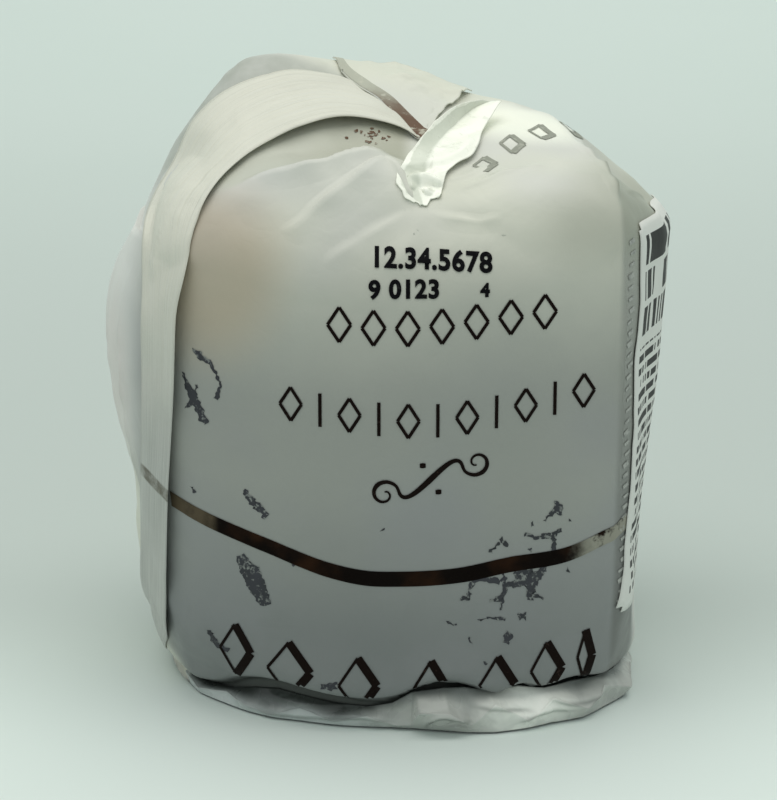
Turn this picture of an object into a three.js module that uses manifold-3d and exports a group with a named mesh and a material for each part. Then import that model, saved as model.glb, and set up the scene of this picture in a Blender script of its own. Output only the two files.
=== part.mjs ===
// A mini panettone: a small dome-topped loaf in its paper baking cup, closed in a wrap of milky film that
// carries a paper label. Millimetres, +Z up. The origin is on the standing face, below the middle of the
// wrap; the wrap's printed front looks along -Y, and the label is on its +X side.
import * as THREE from "three";
import { mergeVertices } from "three/addons/utils/BufferGeometryUtils.js";
import Module from "manifold-3d";

const wasm = await Module();
wasm.setup();

// The loaf and its paper baking cup, sizes of a cup for a 100 g loaf.
const CUP_RADIUS = 35.5;
const CUP_HEIGHT = 50;
const CUP_PAPER = 0.4;
const CUP_RIM_HEIGHT = 5;
const LOAF_DOME_RADIUS = 37.8;
const LOAF_TOP = 83;
const SCORE_DEPTH = 1.6;
const GAP = 0.3;

// The wrap: half its width and depth at the shoulder, and the heights where its outline turns.
const WRAP_HALF_WIDTH = 46;
const WRAP_DEPTH_AT_FOOT = 0.955;
const WRAP_DEPTH_AT_BELLY = 0.87;
const WRAP_FOOT_RADIUS = 40;
const WRAP_CREASE_RADIUS = 38.6;
const WRAP_CREASE_HEIGHT = 5;
const WRAP_BELLY_HEIGHT = 60;
const WRAP_SHOULDER_HEIGHT = 73;
const WRAP_HEIGHT = 97;
const WRAP_SQUARENESS = 3;
const TOP_TILT = 0.1;
const FILM = 0.35;

// The end seals, the folded flap on top and the label, all thin layers on the wrap.
const SEAL_WIDTH = 10.5;
const SEAL_LAYER = 0.7;
const FLAP_LAYER = 0.6;
const VENT_WIDTH = 0.8;
const VENT_LENGTH = 24;
const LABEL_WIDTH = 34;
const LABEL_HEIGHT = 62;
const LABEL_CORNER = 3;
const LABEL_MIDDLE_Y = -13;
const LABEL_MIDDLE_Z = 46;
const LABEL_PAPER = 0.3;

const AROUND = 60;
const UP = 26;
const REACH = 80;

// A closed mesh as a solid that can be joined and cut.
function solid(geometry) {
  const bare = geometry.clone();
  bare.deleteAttribute("normal");
  bare.deleteAttribute("uv");
  const merged = mergeVertices(bare, 1e-4);
  return new wasm.Manifold(
    new wasm.Mesh({
      numProp: 3,
      vertProperties: new Float32Array(merged.attributes.position.array),
      triVerts: new Uint32Array(merged.index.array),
    }),
  );
}

// A solid back as geometry.
function geometryOf(made) {
  const mesh = made.getMesh();
  const geometry = new THREE.BufferGeometry();
  geometry.setAttribute("position", new THREE.BufferAttribute(mesh.vertProperties, 3));
  geometry.setIndex(new THREE.BufferAttribute(mesh.triVerts, 1));
  geometry.computeVertexNormals();
  return geometry;
}

// An outline of radius and height, turned about the vertical axis.
function turned(outline, around) {
  return new THREE.LatheGeometry(outline, around).rotateX(Math.PI / 2);
}

// Moves every vertex of a geometry by a function of its place.
function reshaped(geometry, move) {
  const places = geometry.attributes.position;
  const place = new THREE.Vector3();
  for (let i = 0; i < places.count; i += 1) {
    place.fromBufferAttribute(places, i);
    move(place);
    places.setXYZ(i, place.x, place.y, place.z);
  }
  return geometry;
}

function namedMesh(name, geometry, color, roughness) {
  const material = new THREE.MeshStandardMaterial({ color, roughness, metalness: 0 });
  const mesh = new THREE.Mesh(geometry, material);
  mesh.name = name;
  return mesh;
}

// The wrap's outline from the middle of its foot to the middle of its top, moved outwards by a distance.
function wrapOutline(distance) {
  const foot = new THREE.LineCurve(new THREE.Vector2(0, 0), new THREE.Vector2(WRAP_FOOT_RADIUS - 2, 0));
  const wall = new THREE.SplineCurve([
    new THREE.Vector2(WRAP_FOOT_RADIUS - 2, 0),
    new THREE.Vector2(WRAP_FOOT_RADIUS, 1.5),
    new THREE.Vector2(WRAP_CREASE_RADIUS, WRAP_CREASE_HEIGHT),
    new THREE.Vector2(WRAP_CREASE_RADIUS + 3, 14),
    new THREE.Vector2(WRAP_HALF_WIDTH - 1.2, 36),
    new THREE.Vector2(WRAP_HALF_WIDTH, WRAP_BELLY_HEIGHT),
    new THREE.Vector2(WRAP_HALF_WIDTH - 0.6, WRAP_SHOULDER_HEIGHT),
    new THREE.Vector2(WRAP_HALF_WIDTH - 10, WRAP_SHOULDER_HEIGHT + 11),
    new THREE.Vector2(WRAP_HALF_WIDTH - 28, WRAP_HEIGHT - 4),
    new THREE.Vector2(0, WRAP_HEIGHT),
  ]);
  const points = [...foot.getPoints(2), ...wall.getSpacedPoints(UP).slice(1)];
  return points.map((point, i) => {
    const before = points[Math.max(i - 1, 0)];
    const after = points[Math.min(i + 1, points.length - 1)];
    const outwards = new THREE.Vector2(after.y - before.y, before.x - after.x).normalize();
    if (i <= 1) {
      outwards.set(0, -1);
    }
    if (i === points.length - 1) {
      outwards.set(0, 1);
    }
    const radius = point.x + outwards.x * distance;
    const onAxis = i === 0 || i === points.length - 1;
    return new THREE.Vector2(onAxis ? 0 : radius, point.y + outwards.y * distance);
  });
}

// The wrap's form: a turned body made square in plan, less deep than wide, its top leaning up to the left.
function wrapForm(distance) {
  return solid(
    reshaped(turned(wrapOutline(distance), AROUND), (place) => {
      const angle = Math.atan2(place.y, place.x);
      const roundness = THREE.MathUtils.smoothstep(place.z, WRAP_SHOULDER_HEIGHT, WRAP_HEIGHT);
      const power = THREE.MathUtils.lerp(WRAP_SQUARENESS, 2, roundness);
      const sum = Math.abs(Math.cos(angle)) ** power + Math.abs(Math.sin(angle)) ** power;
      const stretch = sum ** (-1 / power);
      const swelling = THREE.MathUtils.smoothstep(place.z, WRAP_CREASE_HEIGHT, WRAP_BELLY_HEIGHT);
      place.x *= stretch;
      place.y *= stretch * THREE.MathUtils.lerp(WRAP_DEPTH_AT_FOOT, WRAP_DEPTH_AT_BELLY, swelling);
      place.z -= TOP_TILT * place.x * THREE.MathUtils.smoothstep(place.z, WRAP_BELLY_HEIGHT, WRAP_HEIGHT);
    }),
  );
}

// A layer of film or paper lying on the wrap, wherever the given prism crosses it.
function layerOnWrap(lift, thickness, prism) {
  return wrapForm(lift + thickness).subtract(wrapForm(lift)).intersect(prism);
}

// The end seal, a flat fin folded down against the wrap: up the left front edge and over the shoulder.
function sealPrism() {
  const middle = new THREE.SplineCurve([
    new THREE.Vector2(-36, 4),
    new THREE.Vector2(-37, 30),
    new THREE.Vector2(-35, 58),
    new THREE.Vector2(-30, 74),
    new THREE.Vector2(-20, 86),
    new THREE.Vector2(-6, 95),
    new THREE.Vector2(8, 100),
  ]);
  const left = [];
  const right = [];
  const steps = 24;
  for (let i = 0; i <= steps; i += 1) {
    const point = middle.getPointAt(i / steps);
    const along = middle.getTangentAt(i / steps);
    const across = new THREE.Vector2(-along.y, along.x).multiplyScalar(SEAL_WIDTH / 2);
    left.push(point.clone().add(across));
    right.unshift(point.clone().sub(across));
  }
  const band = new THREE.Shape([...left, ...right]);
  return new THREE.ExtrudeGeometry(band, { depth: REACH, bevelEnabled: false }).rotateX(Math.PI / 2);
}

// The left end seal lies on the front, and the right one is folded the other way, onto the back.
function endSeals() {
  const left = layerOnWrap(-FILM / 2, SEAL_LAYER, solid(sealPrism()));
  const right = layerOnWrap(-FILM / 2, SEAL_LAYER, solid(sealPrism().rotateZ(Math.PI)));
  return left.add(right);
}

// The triangle of slack film folded forward over the top.
function topFlap() {
  const triangle = new THREE.Shape([
    new THREE.Vector2(-14, 26),
    new THREE.Vector2(3, -8),
    new THREE.Vector2(20, 24),
  ]);
  const prism = new THREE.ExtrudeGeometry(triangle, { depth: REACH, bevelEnabled: false });
  return layerOnWrap(-FILM / 2, FLAP_LAYER, solid(prism.translate(0, 0, WRAP_SHOULDER_HEIGHT)));
}

// A short unsealed slit in the wall, on the left side behind the end seal.
function ventSlit() {
  const slit = new THREE.BoxGeometry(REACH, VENT_WIDTH, VENT_LENGTH);
  return solid(slit.translate(-REACH / 2, 0, WRAP_BELLY_HEIGHT / 2));
}

function filmWrapper() {
  const wall = wrapForm(0).subtract(wrapForm(-FILM));
  const made = wall.add(endSeals()).add(topFlap()).subtract(ventSlit());
  return namedMesh("film_wrapper", geometryOf(made), 0xc9cfc4, 0.4);
}

function ingredientsLabel() {
  const halfWidth = LABEL_WIDTH / 2;
  const halfHeight = LABEL_HEIGHT / 2;
  const outline = new THREE.Shape();
  const corners = [
    [halfWidth - LABEL_CORNER, halfHeight - LABEL_CORNER, 0],
    [LABEL_CORNER - halfWidth, halfHeight - LABEL_CORNER, 0.5],
    [LABEL_CORNER - halfWidth, LABEL_CORNER - halfHeight, 1],
    [halfWidth - LABEL_CORNER, LABEL_CORNER - halfHeight, 1.5],
  ];
  for (const [across, up, turn] of corners) {
    outline.absarc(across, up, LABEL_CORNER, turn * Math.PI, (turn + 0.5) * Math.PI, false);
  }
  const prism = new THREE.ExtrudeGeometry(outline, { depth: REACH, bevelEnabled: false, curveSegments: 5 });
  prism.rotateX(Math.PI / 2).rotateZ(Math.PI / 2);
  prism.translate(0, LABEL_MIDDLE_Y, LABEL_MIDDLE_Z);
  const made = layerOnWrap(GAP, LABEL_PAPER, solid(prism));
  return namedMesh("ingredients_label", geometryOf(made), 0xe9e9e4, 0.6);
}

// The strip of paper that the loaf is baked in: a thin wall, open at both ends.
function bakingCupWall() {
  const inside = CUP_RADIUS - CUP_PAPER;
  const low = FILM + GAP;
  const outline = [
    new THREE.Vector2(inside, low),
    new THREE.Vector2(CUP_RADIUS, low),
    new THREE.Vector2(CUP_RADIUS, CUP_HEIGHT),
    new THREE.Vector2(inside, CUP_HEIGHT),
    new THREE.Vector2(inside, low),
  ];
  return namedMesh("baking_cup_wall", turned(outline, AROUND), 0x6b4630, 0.8);
}

// The paper disc that closes the strip from below, with its edge turned up inside the wall.
function bakingCupBase() {
  const low = FILM + GAP;
  const radius = CUP_RADIUS - CUP_PAPER - GAP;
  const outline = [
    new THREE.Vector2(0, low),
    new THREE.Vector2(radius, low),
    new THREE.Vector2(radius, CUP_RIM_HEIGHT),
    new THREE.Vector2(radius - CUP_PAPER, CUP_RIM_HEIGHT),
    new THREE.Vector2(radius - CUP_PAPER, low + CUP_PAPER),
    new THREE.Vector2(0, low + CUP_PAPER),
  ];
  return namedMesh("baking_cup_base", turned(outline, AROUND), 0x6b4630, 0.8);
}

// The loaf fills its cup and mushrooms over the rim; its dome opens along a cross scored before baking.
function loaf() {
  const inCup = CUP_RADIUS - CUP_PAPER - GAP;
  const low = FILM + CUP_PAPER + 2 * GAP;
  const narrow = inCup - CUP_PAPER - GAP;
  const overRim = CUP_HEIGHT + GAP;
  const side = [
    new THREE.Vector2(0, low),
    new THREE.Vector2(narrow - 1.5, low),
    new THREE.Vector2(narrow, low + 1.5),
    new THREE.Vector2(narrow, CUP_RIM_HEIGHT + 0.5),
    new THREE.Vector2(inCup - 0.2, CUP_RIM_HEIGHT + 3),
    new THREE.Vector2(inCup - 0.2, overRim),
  ];
  const dome = new THREE.SplineCurve([
    new THREE.Vector2(inCup - 0.2, overRim),
    new THREE.Vector2(LOAF_DOME_RADIUS - 0.4, overRim + 3),
    new THREE.Vector2(LOAF_DOME_RADIUS, overRim + 8),
    new THREE.Vector2(LOAF_DOME_RADIUS - 6, overRim + 20),
    new THREE.Vector2(LOAF_DOME_RADIUS - 20, LOAF_TOP - 4),
    new THREE.Vector2(0, LOAF_TOP),
  ]);
  const geometry = reshaped(turned([...side, ...dome.getSpacedPoints(14).slice(1)], AROUND), (place) => {
    const risen = THREE.MathUtils.smoothstep(place.z, overRim + 6, LOAF_TOP);
    const fromCut = Math.abs(Math.sin(2 * Math.atan2(place.y, place.x)));
    place.z -= SCORE_DEPTH * risen * (1 - fromCut) ** 3;
  });
  return namedMesh("loaf", geometry, 0x8a4f22, 0.8);
}

const miniPanettone = new THREE.Group();
miniPanettone.add(loaf());
miniPanettone.add(bakingCupWall());
miniPanettone.add(bakingCupBase());
miniPanettone.add(filmWrapper());
miniPanettone.add(ingredientsLabel());

export default miniPanettone;
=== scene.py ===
"""A mini panettone in its wrap of milky film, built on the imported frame.

Shapes are worked out in millimetres of the wrap, and MM turns them into the frame's metres.
"""

import math

import bmesh
import bpy
import numpy as np
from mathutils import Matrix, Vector
from mathutils.bvhtree import BVHTree


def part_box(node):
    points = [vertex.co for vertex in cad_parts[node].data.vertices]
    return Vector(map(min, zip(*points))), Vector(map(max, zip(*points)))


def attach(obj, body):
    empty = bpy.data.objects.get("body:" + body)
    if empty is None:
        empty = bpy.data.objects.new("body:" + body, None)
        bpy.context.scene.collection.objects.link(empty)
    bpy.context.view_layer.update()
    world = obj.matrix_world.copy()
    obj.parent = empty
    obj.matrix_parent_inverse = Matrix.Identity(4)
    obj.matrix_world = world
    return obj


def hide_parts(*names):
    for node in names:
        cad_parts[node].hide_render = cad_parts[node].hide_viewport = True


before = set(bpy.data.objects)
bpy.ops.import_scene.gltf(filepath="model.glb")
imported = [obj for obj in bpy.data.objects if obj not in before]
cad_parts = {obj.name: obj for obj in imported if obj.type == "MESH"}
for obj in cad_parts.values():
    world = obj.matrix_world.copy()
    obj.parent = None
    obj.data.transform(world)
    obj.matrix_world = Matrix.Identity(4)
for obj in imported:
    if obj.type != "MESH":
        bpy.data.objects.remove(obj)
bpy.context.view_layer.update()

# The wrap's real height in millimetres gives the frame's unit.
WRAP_HEIGHT = 97.5
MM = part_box("film_wrapper")[1].z / WRAP_HEIGHT

# How finely the wrap is meshed, and how thick its film and its paper label are in millimetres.
RINGS = 150
RING_POINTS = 320
FILM_THICKNESS = 0.16
LABEL_THICKNESS = 0.14


# ---------------------------------------------------------------- curves and surfaces through points

def through(points):
    """A smooth function of one number through points given as (place, value)."""
    places, values = np.array(points, float).T
    slopes = np.gradient(values, places)

    def value_at(place):
        place = np.clip(place, places[0], places[-1])
        i = np.clip(np.searchsorted(places, place) - 1, 0, len(places) - 2)
        width = places[i + 1] - places[i]
        t = (place - places[i]) / width
        rise = values[i + 1] - values[i]
        start, end = slopes[i] * width, slopes[i + 1] * width
        return values[i] + t * (start + t * (3 * rise - 2 * start - end + t * (start + end - 2 * rise)))

    return value_at


def steps_of(points):
    """The length of each straight step from point to point."""
    return np.linalg.norm(np.diff(np.array(points, float), axis=0), axis=1)


def reached_at(points):
    """The share of the whole way at which each point lies."""
    return np.concatenate([[0], np.cumsum(steps_of(points))]) / steps_of(points).sum()


def route_through(points):
    """A smooth route through points, as a function of the share of its length."""
    parts = [through(np.column_stack([reached_at(points), values])) for values in np.array(points, float).T]
    return lambda share: np.stack([part(share) for part in parts], axis=-1)


def straight_route(points):
    """A route that runs straight from point to point, as a function of the share of its length."""
    reached, parts = reached_at(points), np.array(points, float).T
    return lambda share: np.stack([np.interp(share, reached, values) for values in parts], axis=-1)


def heading(route, share, reach):
    """The way in which a route runs at a share of its length, judged over a reach of shares either way."""
    ahead = route(np.clip(share + reach, 0, 1)) - route(np.clip(share - reach, 0, 1))
    return ahead / np.linalg.norm(ahead, axis=1)[:, None]


def bending(apart):
    """How a thin plate answers at a distance from a point that holds it."""
    return apart**2 * np.log(apart + 1e-6)


def plate_through(points):
    """A thin plate bent through points given as (x, y, height), as a function of x and y."""
    points = np.array(points, float)
    places, heights = points[:, :2], points[:, 2]
    count = len(points)
    flat = np.column_stack([np.ones(count), places])
    apart = np.linalg.norm(places[:, None] - places[None], axis=2)
    system = np.zeros((count + 3, count + 3))
    system[:count, :count] = bending(apart) + 2.0 * np.eye(count)
    system[:count, count:] = flat
    system[count:, :count] = flat.T
    weights = np.linalg.solve(system, np.concatenate([heights, np.zeros(3)]))

    def height_at(x, y):
        to_points = np.linalg.norm(np.stack([x, y], axis=-1)[..., None, :] - places, axis=-1)
        level = weights[count] + weights[count + 1] * x + weights[count + 2] * y
        return bending(to_points) @ weights[:count] + level

    return height_at


def distance_to(route, places, samples=60):
    """How far each place is from a route, and the share of the route's length where it is nearest."""
    shares = np.linspace(0, 1, samples)
    along = route(shares)
    nearest = np.full(len(places), 1e9)
    share = np.zeros(len(places))
    for k in range(samples - 1):
        a, step = along[k], along[k + 1] - along[k]
        t = np.clip((places - a) @ step / (step @ step), 0, 1)
        apart = np.linalg.norm(places - a - t[:, None] * step, axis=1)
        closer = apart < nearest
        nearest[closer] = apart[closer]
        share[closer] = shares[k] + t[closer] * (shares[1] - shares[0])
    return nearest, share


def roughly(places, size, seed, waves=24):
    """Smooth random swells over places, mostly from -1 to 1, each about the given size across."""
    chance = np.random.default_rng(seed)
    directions = chance.normal(size=(waves, 3))
    pace = math.tau / size * chance.uniform(0.5, 1.5, waves)
    directions *= (pace / np.linalg.norm(directions, axis=1))[:, None]
    return np.sin(places @ directions.T + chance.uniform(0, math.tau, waves)).sum(axis=1) / math.sqrt(waves)


def creased(places, spacing, seed, count=5):
    """The straight sharp folds of handled film, with flat facets between them: mostly from -1 to 1."""
    chance = np.random.default_rng(seed)
    swells = [roughly(places, 2.2 * spacing, seed + k) for k in range(3)]
    bent = places + 0.22 * spacing * np.stack(swells, axis=1)
    total = np.zeros(len(places))
    for k in range(count):
        direction = chance.normal(size=3)
        pitch = spacing * chance.uniform(0.7, 1.8) * np.linalg.norm(direction)
        wave = bent @ direction / pitch + chance.uniform()
        fades = np.clip(0.6 + 0.7 * roughly(places, 2 * spacing, seed + 10 + k), 0, 1)
        total += (np.abs(wave % 1 - 0.5) * 4 - 1) * fades
    return total / math.sqrt(count)


def smooth_step(value, low, high):
    """0 at low, 1 at high and a smooth rise between them."""
    t = np.clip((value - low) / (high - low), 0, 1)
    return t * t * (3 - 2 * t)


def fading(share, reach):
    """1 along the middle of a length and falling to 0 within reach of both its ends."""
    return smooth_step(share, 0, reach) * smooth_step(1 - share, 0, reach)


def around(angle, out, height):
    """Places given by direction, distance from the upright axis and height."""
    return np.column_stack([out * np.cos(angle), out * np.sin(angle), height])


# ---------------------------------------------------------------- the form of the wrap

# Upright lines on the wall of the wrap: direction in degrees from +X, whether the film is creased along it,
# and how far it stands from the upright axis by height.
RAILS = [
    (-163, False, [(0, 37.6), (3, 38.6), (7, 40.4), (16, 42.6), (30, 43.6), (46, 45.4), (60, 46.2),
                   (66, 45.2), (71, 43.2), (77, 40.4), (82, 37.2)]),
    (-145, True, [(0, 38.3), (3, 39), (7, 40.6), (16, 43.2), (30, 45.4), (46, 46.4), (60, 46.6), (70, 46),
                  (82, 43)]),
    (-133, False, [(0, 38.4), (2.5, 38.6), (5, 38.2), (8, 39.6), (16, 42), (30, 44), (50, 44.8), (66, 44.4),
                   (82, 42)]),
    (-116, False, [(0, 37.8), (2.2, 38.4), (5, 37.6), (7, 39), (16, 40.2), (30, 40.8), (50, 41), (66, 40.4),
                   (82, 39)]),
    (-90, False, [(0, 37.6), (2.2, 39.4), (4.6, 38.2), (6.2, 38.6), (14, 38.8), (30, 39.2), (50, 39.4),
                  (66, 38.6), (82, 36.6)]),
    (-66, False, [(0, 42.2), (2.2, 42.4), (4.8, 40.6), (6.8, 41.2), (16, 41.6), (30, 42), (50, 42.3),
                  (66, 41.8), (82, 40.4)]),
    (-43.4, True, [(0, 45), (2.5, 45.4), (5, 44.6), (8, 45.8), (16, 47), (30, 48.1), (50, 48.9), (66, 48.8),
                   (76, 48.2), (84, 46.6)]),
    (-38.5, False, [(0, 45), (2.5, 45.2), (5, 44.6), (8, 46), (16, 47.6), (30, 48), (50, 48.3), (66, 48.3),
                    (84, 47.4)]),
    (-18, False, [(0, 42), (5, 42.3), (16, 42.6), (31, 43), (52, 44.6), (74, 46)]),
    (0, False, [(0, 41), (6, 41.6), (31, 42.9), (52, 44.7), (74, 46.3)]),
    (22, False, [(0, 40.6), (6, 41), (31, 43.6), (52, 45), (74, 45)]),
    (43, False, [(0, 42.4), (5, 42), (16, 44.6), (40, 47.4), (60, 47.8), (76, 45)]),
    (66, False, [(0, 39.8), (5, 39.6), (16, 41.2), (40, 43.2), (60, 43.2), (76, 40.5)]),
    (90, False, [(0, 38.2), (2.5, 38), (5, 37.6), (8, 38), (25, 39.2), (50, 39.8), (78, 38)]),
    (115, False, [(0, 38.6), (5, 38.2), (16, 40), (40, 42.4), (60, 42.4), (78, 39.5)]),
    (140, False, [(0, 39.6), (5, 39.4), (16, 43), (40, 46.6), (60, 46.6), (78, 42)]),
    (172, False, [(0, 36.4), (3, 36.8), (7, 39), (16, 41.6), (30, 42.8), (46, 44.8), (60, 45.8), (66, 44.8),
                  (71, 42.8), (77, 40.2), (82, 37.2)]),
]
RAIL_TURNS = np.array([turn for turn, _, _ in RAILS] + [RAILS[0][0] + 360], float)
RAIL_CREASED = np.array([sharp for _, sharp, _ in RAILS])
RAIL_STAND = [through(points) for _, _, points in RAILS]


def plan(angle, height):
    """How far the wall stands out from the upright axis, by direction and height."""
    turn = (np.degrees(angle) - RAIL_TURNS[0]) % 360 + RAIL_TURNS[0]
    stand = np.stack([rail(height) for rail in RAIL_STAND])
    gaps = np.diff(RAIL_TURNS)
    rise = np.roll(stand, -1, axis=0) - stand
    chord = rise / gaps[:, None]
    slope = (rise + np.roll(rise, 1, axis=0)) / (gaps + np.roll(gaps, 1))[:, None]
    first = np.clip(np.searchsorted(RAIL_TURNS, turn, side="right") - 1, 0, len(RAILS) - 1)
    second = (first + 1) % len(RAILS)
    each = np.arange(len(turn))
    gap, lift = gaps[first], rise[first, each]
    start = np.where(RAIL_CREASED[first], chord[first, each], slope[first, each]) * gap
    end = np.where(RAIL_CREASED[second], chord[first, each], slope[second, each]) * gap
    t = (turn - RAIL_TURNS[first]) / gap
    return stand[first, each] + t * (start + t * (3 * lift - 2 * start - end + t * (start + end - 2 * lift)))


# Heights of the top over the plan: x, y, height. The fillet of the shoulder is taken off these.
PLATE = plate_through([
    (-36, -34, 80), (-15, -38, 80.5), (10, -38, 80), (24, -38, 79.5), (35.3, -29, 84), (39.5, -26, 83),
    (-22, -25, 85.4), (-14, -24.5, 86.8), (-5, -22.5, 88.4), (2, -22, 87.4), (6, -27, 82.4), (18, -26, 85.5),
    (30, -20, 87), (-30, -22, 84), (-22, -20, 86.2), (-20, -17, 87.6), (-13, -17, 87.8), (-13, -13.5, 90.2),
    (-6, -15, 88.8), (-6.5, -10.5, 91.6), (4, -12, 88.8),
    (46.4, 0, 84), (46, -14, 84), (30, -4, 89), (30, 6, 90.6), (36, 6, 88), (38, -12, 86), (18, 2, 92.2),
    (12, 10, 93.4), (9, 18, 94), (-3, 16, 97), (-12, 9, 98.8), (-19, 9, 99.3), (-25, 8.5, 98.6),
    (-28, 8, 96), (-24, 2, 95.4), (-16, 4, 97), (-8, 4, 95.6), (-31, -1, 90.4), (-32, 8, 90.5),
    (-36, -8, 81.8), (-41, -6, 75), (-42, 8, 75), (-36, 24, 78), (-20, 36, 80), (0, 38, 80), (20, 36, 77),
    (36, 26, 74), (45, 16, 72), (30, 16, 86), (20, 24, 87), (-18, 24, 90), (-2, 28, 88),
])


def plane_through(a, b, c):
    """The height of the plane through three points, over x and y."""
    lean = np.cross(np.subtract(b, a), np.subtract(c, a))
    return lambda x, y: a[2] - (lean[0] * (x - a[0]) + lean[1] * (y - a[1])) / lean[2]


# The two flat faces where the right side's film is folded over the top, in front and behind.
RIGHT_FACET = plane_through((30.1, -4, 88.7), (35.3, -28, 83.7), (46.5, 4, 75.2))
BACK_RIGHT_FACET = plane_through((34.4, 6, 85.0), (46.0, 4, 75.6), (34.4, 34, 71.5))


def lesser(first, second, blend):
    """The lesser of two heights, rounded where they cross."""
    h = np.clip(0.5 + 0.5 * (second - first) / blend, 0, 1)
    return second * (1 - h) + first * h - blend * h * (1 - h)


def crown(x, y):
    """The height of the top over the plan, with its flat faces."""
    top = lesser(PLATE(x, y), RIGHT_FACET(x, y), 0.3)
    return lesser(top, BACK_RIGHT_FACET(x, y), 2.0)


def shoulder_radius(angle):
    """The rounding between wall and top: soft on the front, tight on the right where the film is folded."""
    right = np.clip(np.cos(angle), 0, 1) ** 2
    front = np.clip(-np.sin(angle), 0, 1) ** 2
    return 6 + 7 * front - 4.4 * right


def shoulder_lean(angle):
    """How far the wall already leans inwards where the shoulder begins: a lot on the left, where the loaf's
    dome shows in the film, and not at all elsewhere."""
    return math.radians(34) * smooth_step(-np.cos(angle), 0.72, 0.95)


# The height of the wall where the shoulder's plan is taken.
SHOULDER = 78


def wrap_form(angle, rise):
    """Places on the wrap's smooth form: rise goes from 0 in the middle of the foot, through 1 at its rim and
    2 at the shoulder, to 3 in the middle of the top."""
    edge = plan(angle, np.full(angle.shape, float(SHOULDER)))
    radius = shoulder_radius(angle)
    lean = shoulder_lean(angle)
    wall_top = crown(edge * np.cos(angle), edge * np.sin(angle)) - radius * (1 - np.sin(lean))

    height = np.clip(rise - 1, 0, 1) * wall_top
    out = plan(angle, height) * np.clip(rise, 0, 1)

    bend = radius * (math.pi / 2 - lean)
    travelled = np.clip(rise - 2, 0, 1) * (bend + edge - radius * np.cos(lean))
    turn = np.clip(lean + travelled / radius, 0, math.pi / 2)
    inwards = radius * (np.cos(lean) - np.cos(turn)) + np.clip(travelled - bend, 0, None)
    share = 1 - inwards / edge
    on_top = rise > 2
    out = np.where(on_top, plan(angle, height) * share, out)
    x, y = out * np.cos(angle), out * np.sin(angle)
    level = crown(x, y) - radius * (1 - np.sin(turn))
    return np.column_stack([x, y, np.where(on_top, level, height)])


# Folds pressed into the film: where each one runs, how far it stands out or sinks in, and how wide it is.
FOLDS = [
    ([(-23, -26, 84), (-15.5, -24.4, 86.6), (-7, -22.6, 88.2), (-1.5, -20.5, 88.6), (3.4, -20.5, 88)], 0.8,
     1.6),
    ([(6, -27, 82.6), (-3, -32.5, 80), (-12, -36.5, 76)], -0.5, 2.0),
    ([(6, -28, 82), (4, -33, 79), (0, -37, 73)], 0.4, 1.5),
    ([(6, -27, 82.6), (16, -25, 85.2), (30, -17, 87.4)], 0.4, 2.5),
    ([(6, -28, 82), (15, -33, 79.6), (24, -37, 74)], -0.4, 2.2),
    ([(35.4, -28.6, 84), (36, -33.2, 78), (36, -33.8, 60), (35.4, -33.4, 30), (34, -32, 8)], 0.7, 1.0),
    ([(-33, -31, 80), (-31.5, -34, 70), (-31.5, -33.6, 50), (-33.5, -31, 30), (-35, -26, 10)], -0.15, 2.6),
    ([(-40.5, -20, 12), (-43.5, -17, 34), (-43.8, -16, 56), (-39, -16, 76)], 0.5, 1.6),
    ([(-42.5, -12, 12), (-45.6, -8, 40), (-46, -8, 62), (-40, -8, 78)], -0.5, 2.2),
    ([(-42, 4, 12), (-45.5, 3, 44), (-45, 3, 66), (-38, 3, 82)], 0.5, 2.2),
    ([(-38, -3, 80), (-30, -6, 88), (-22, -8, 90)], 0.5, 2.0),
    ([(-41, 16, 12), (-43, 20, 44), (-41, 20, 70)], 0.8, 2.6),
    ([(20, 40, 10), (16, 41, 44), (10, 39, 74)], 0.8, 2.4),
    ([(-24, 38, 10), (-20, 40, 44), (-16, 38, 74)], 0.8, 2.4),
    ([(40, 22, 8), (43, 22, 44), (42, 22, 70)], -0.7, 2.4),
]

# By direction in degrees: the height of the crease above the gathered foot, and how far the foot's gathers
# stand out.
FOOT_CREASE = through([(-180, 4), (-160, 3), (-146, 2), (-136, 3.4), (-127, 5.8), (-118, 6.8), (-107, 6.1),
                       (-95, 4.8), (-88, 5.4), (-84, 6.8), (-71, 7.4), (-66, 5.8), (-60, 7), (-55, 5.6),
                       (-49, 6.2), (-40, 5.2), (-20, 4), (20, 4.4), (60, 4), (100, 5), (140, 4.2), (180, 4)])
FOOT_GATHERS = through([(-180, 0), (-150, -0.6), (-140, 0.2), (-128, -0.4), (-119, 0.9), (-108, 0.3),
                        (-97, 0.1), (-90, -0.3), (-84, 1.3), (-79, 0.4), (-72, 1.6), (-66, 1.2), (-60, 0.4),
                        (-54, 1.5), (-48, 0.8), (-42, 0.3), (-30, 0.8), (-15, 0), (10, 0.9), (40, 0),
                        (75, 1), (110, -0.2), (150, 0.8), (180, 0)])


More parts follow.
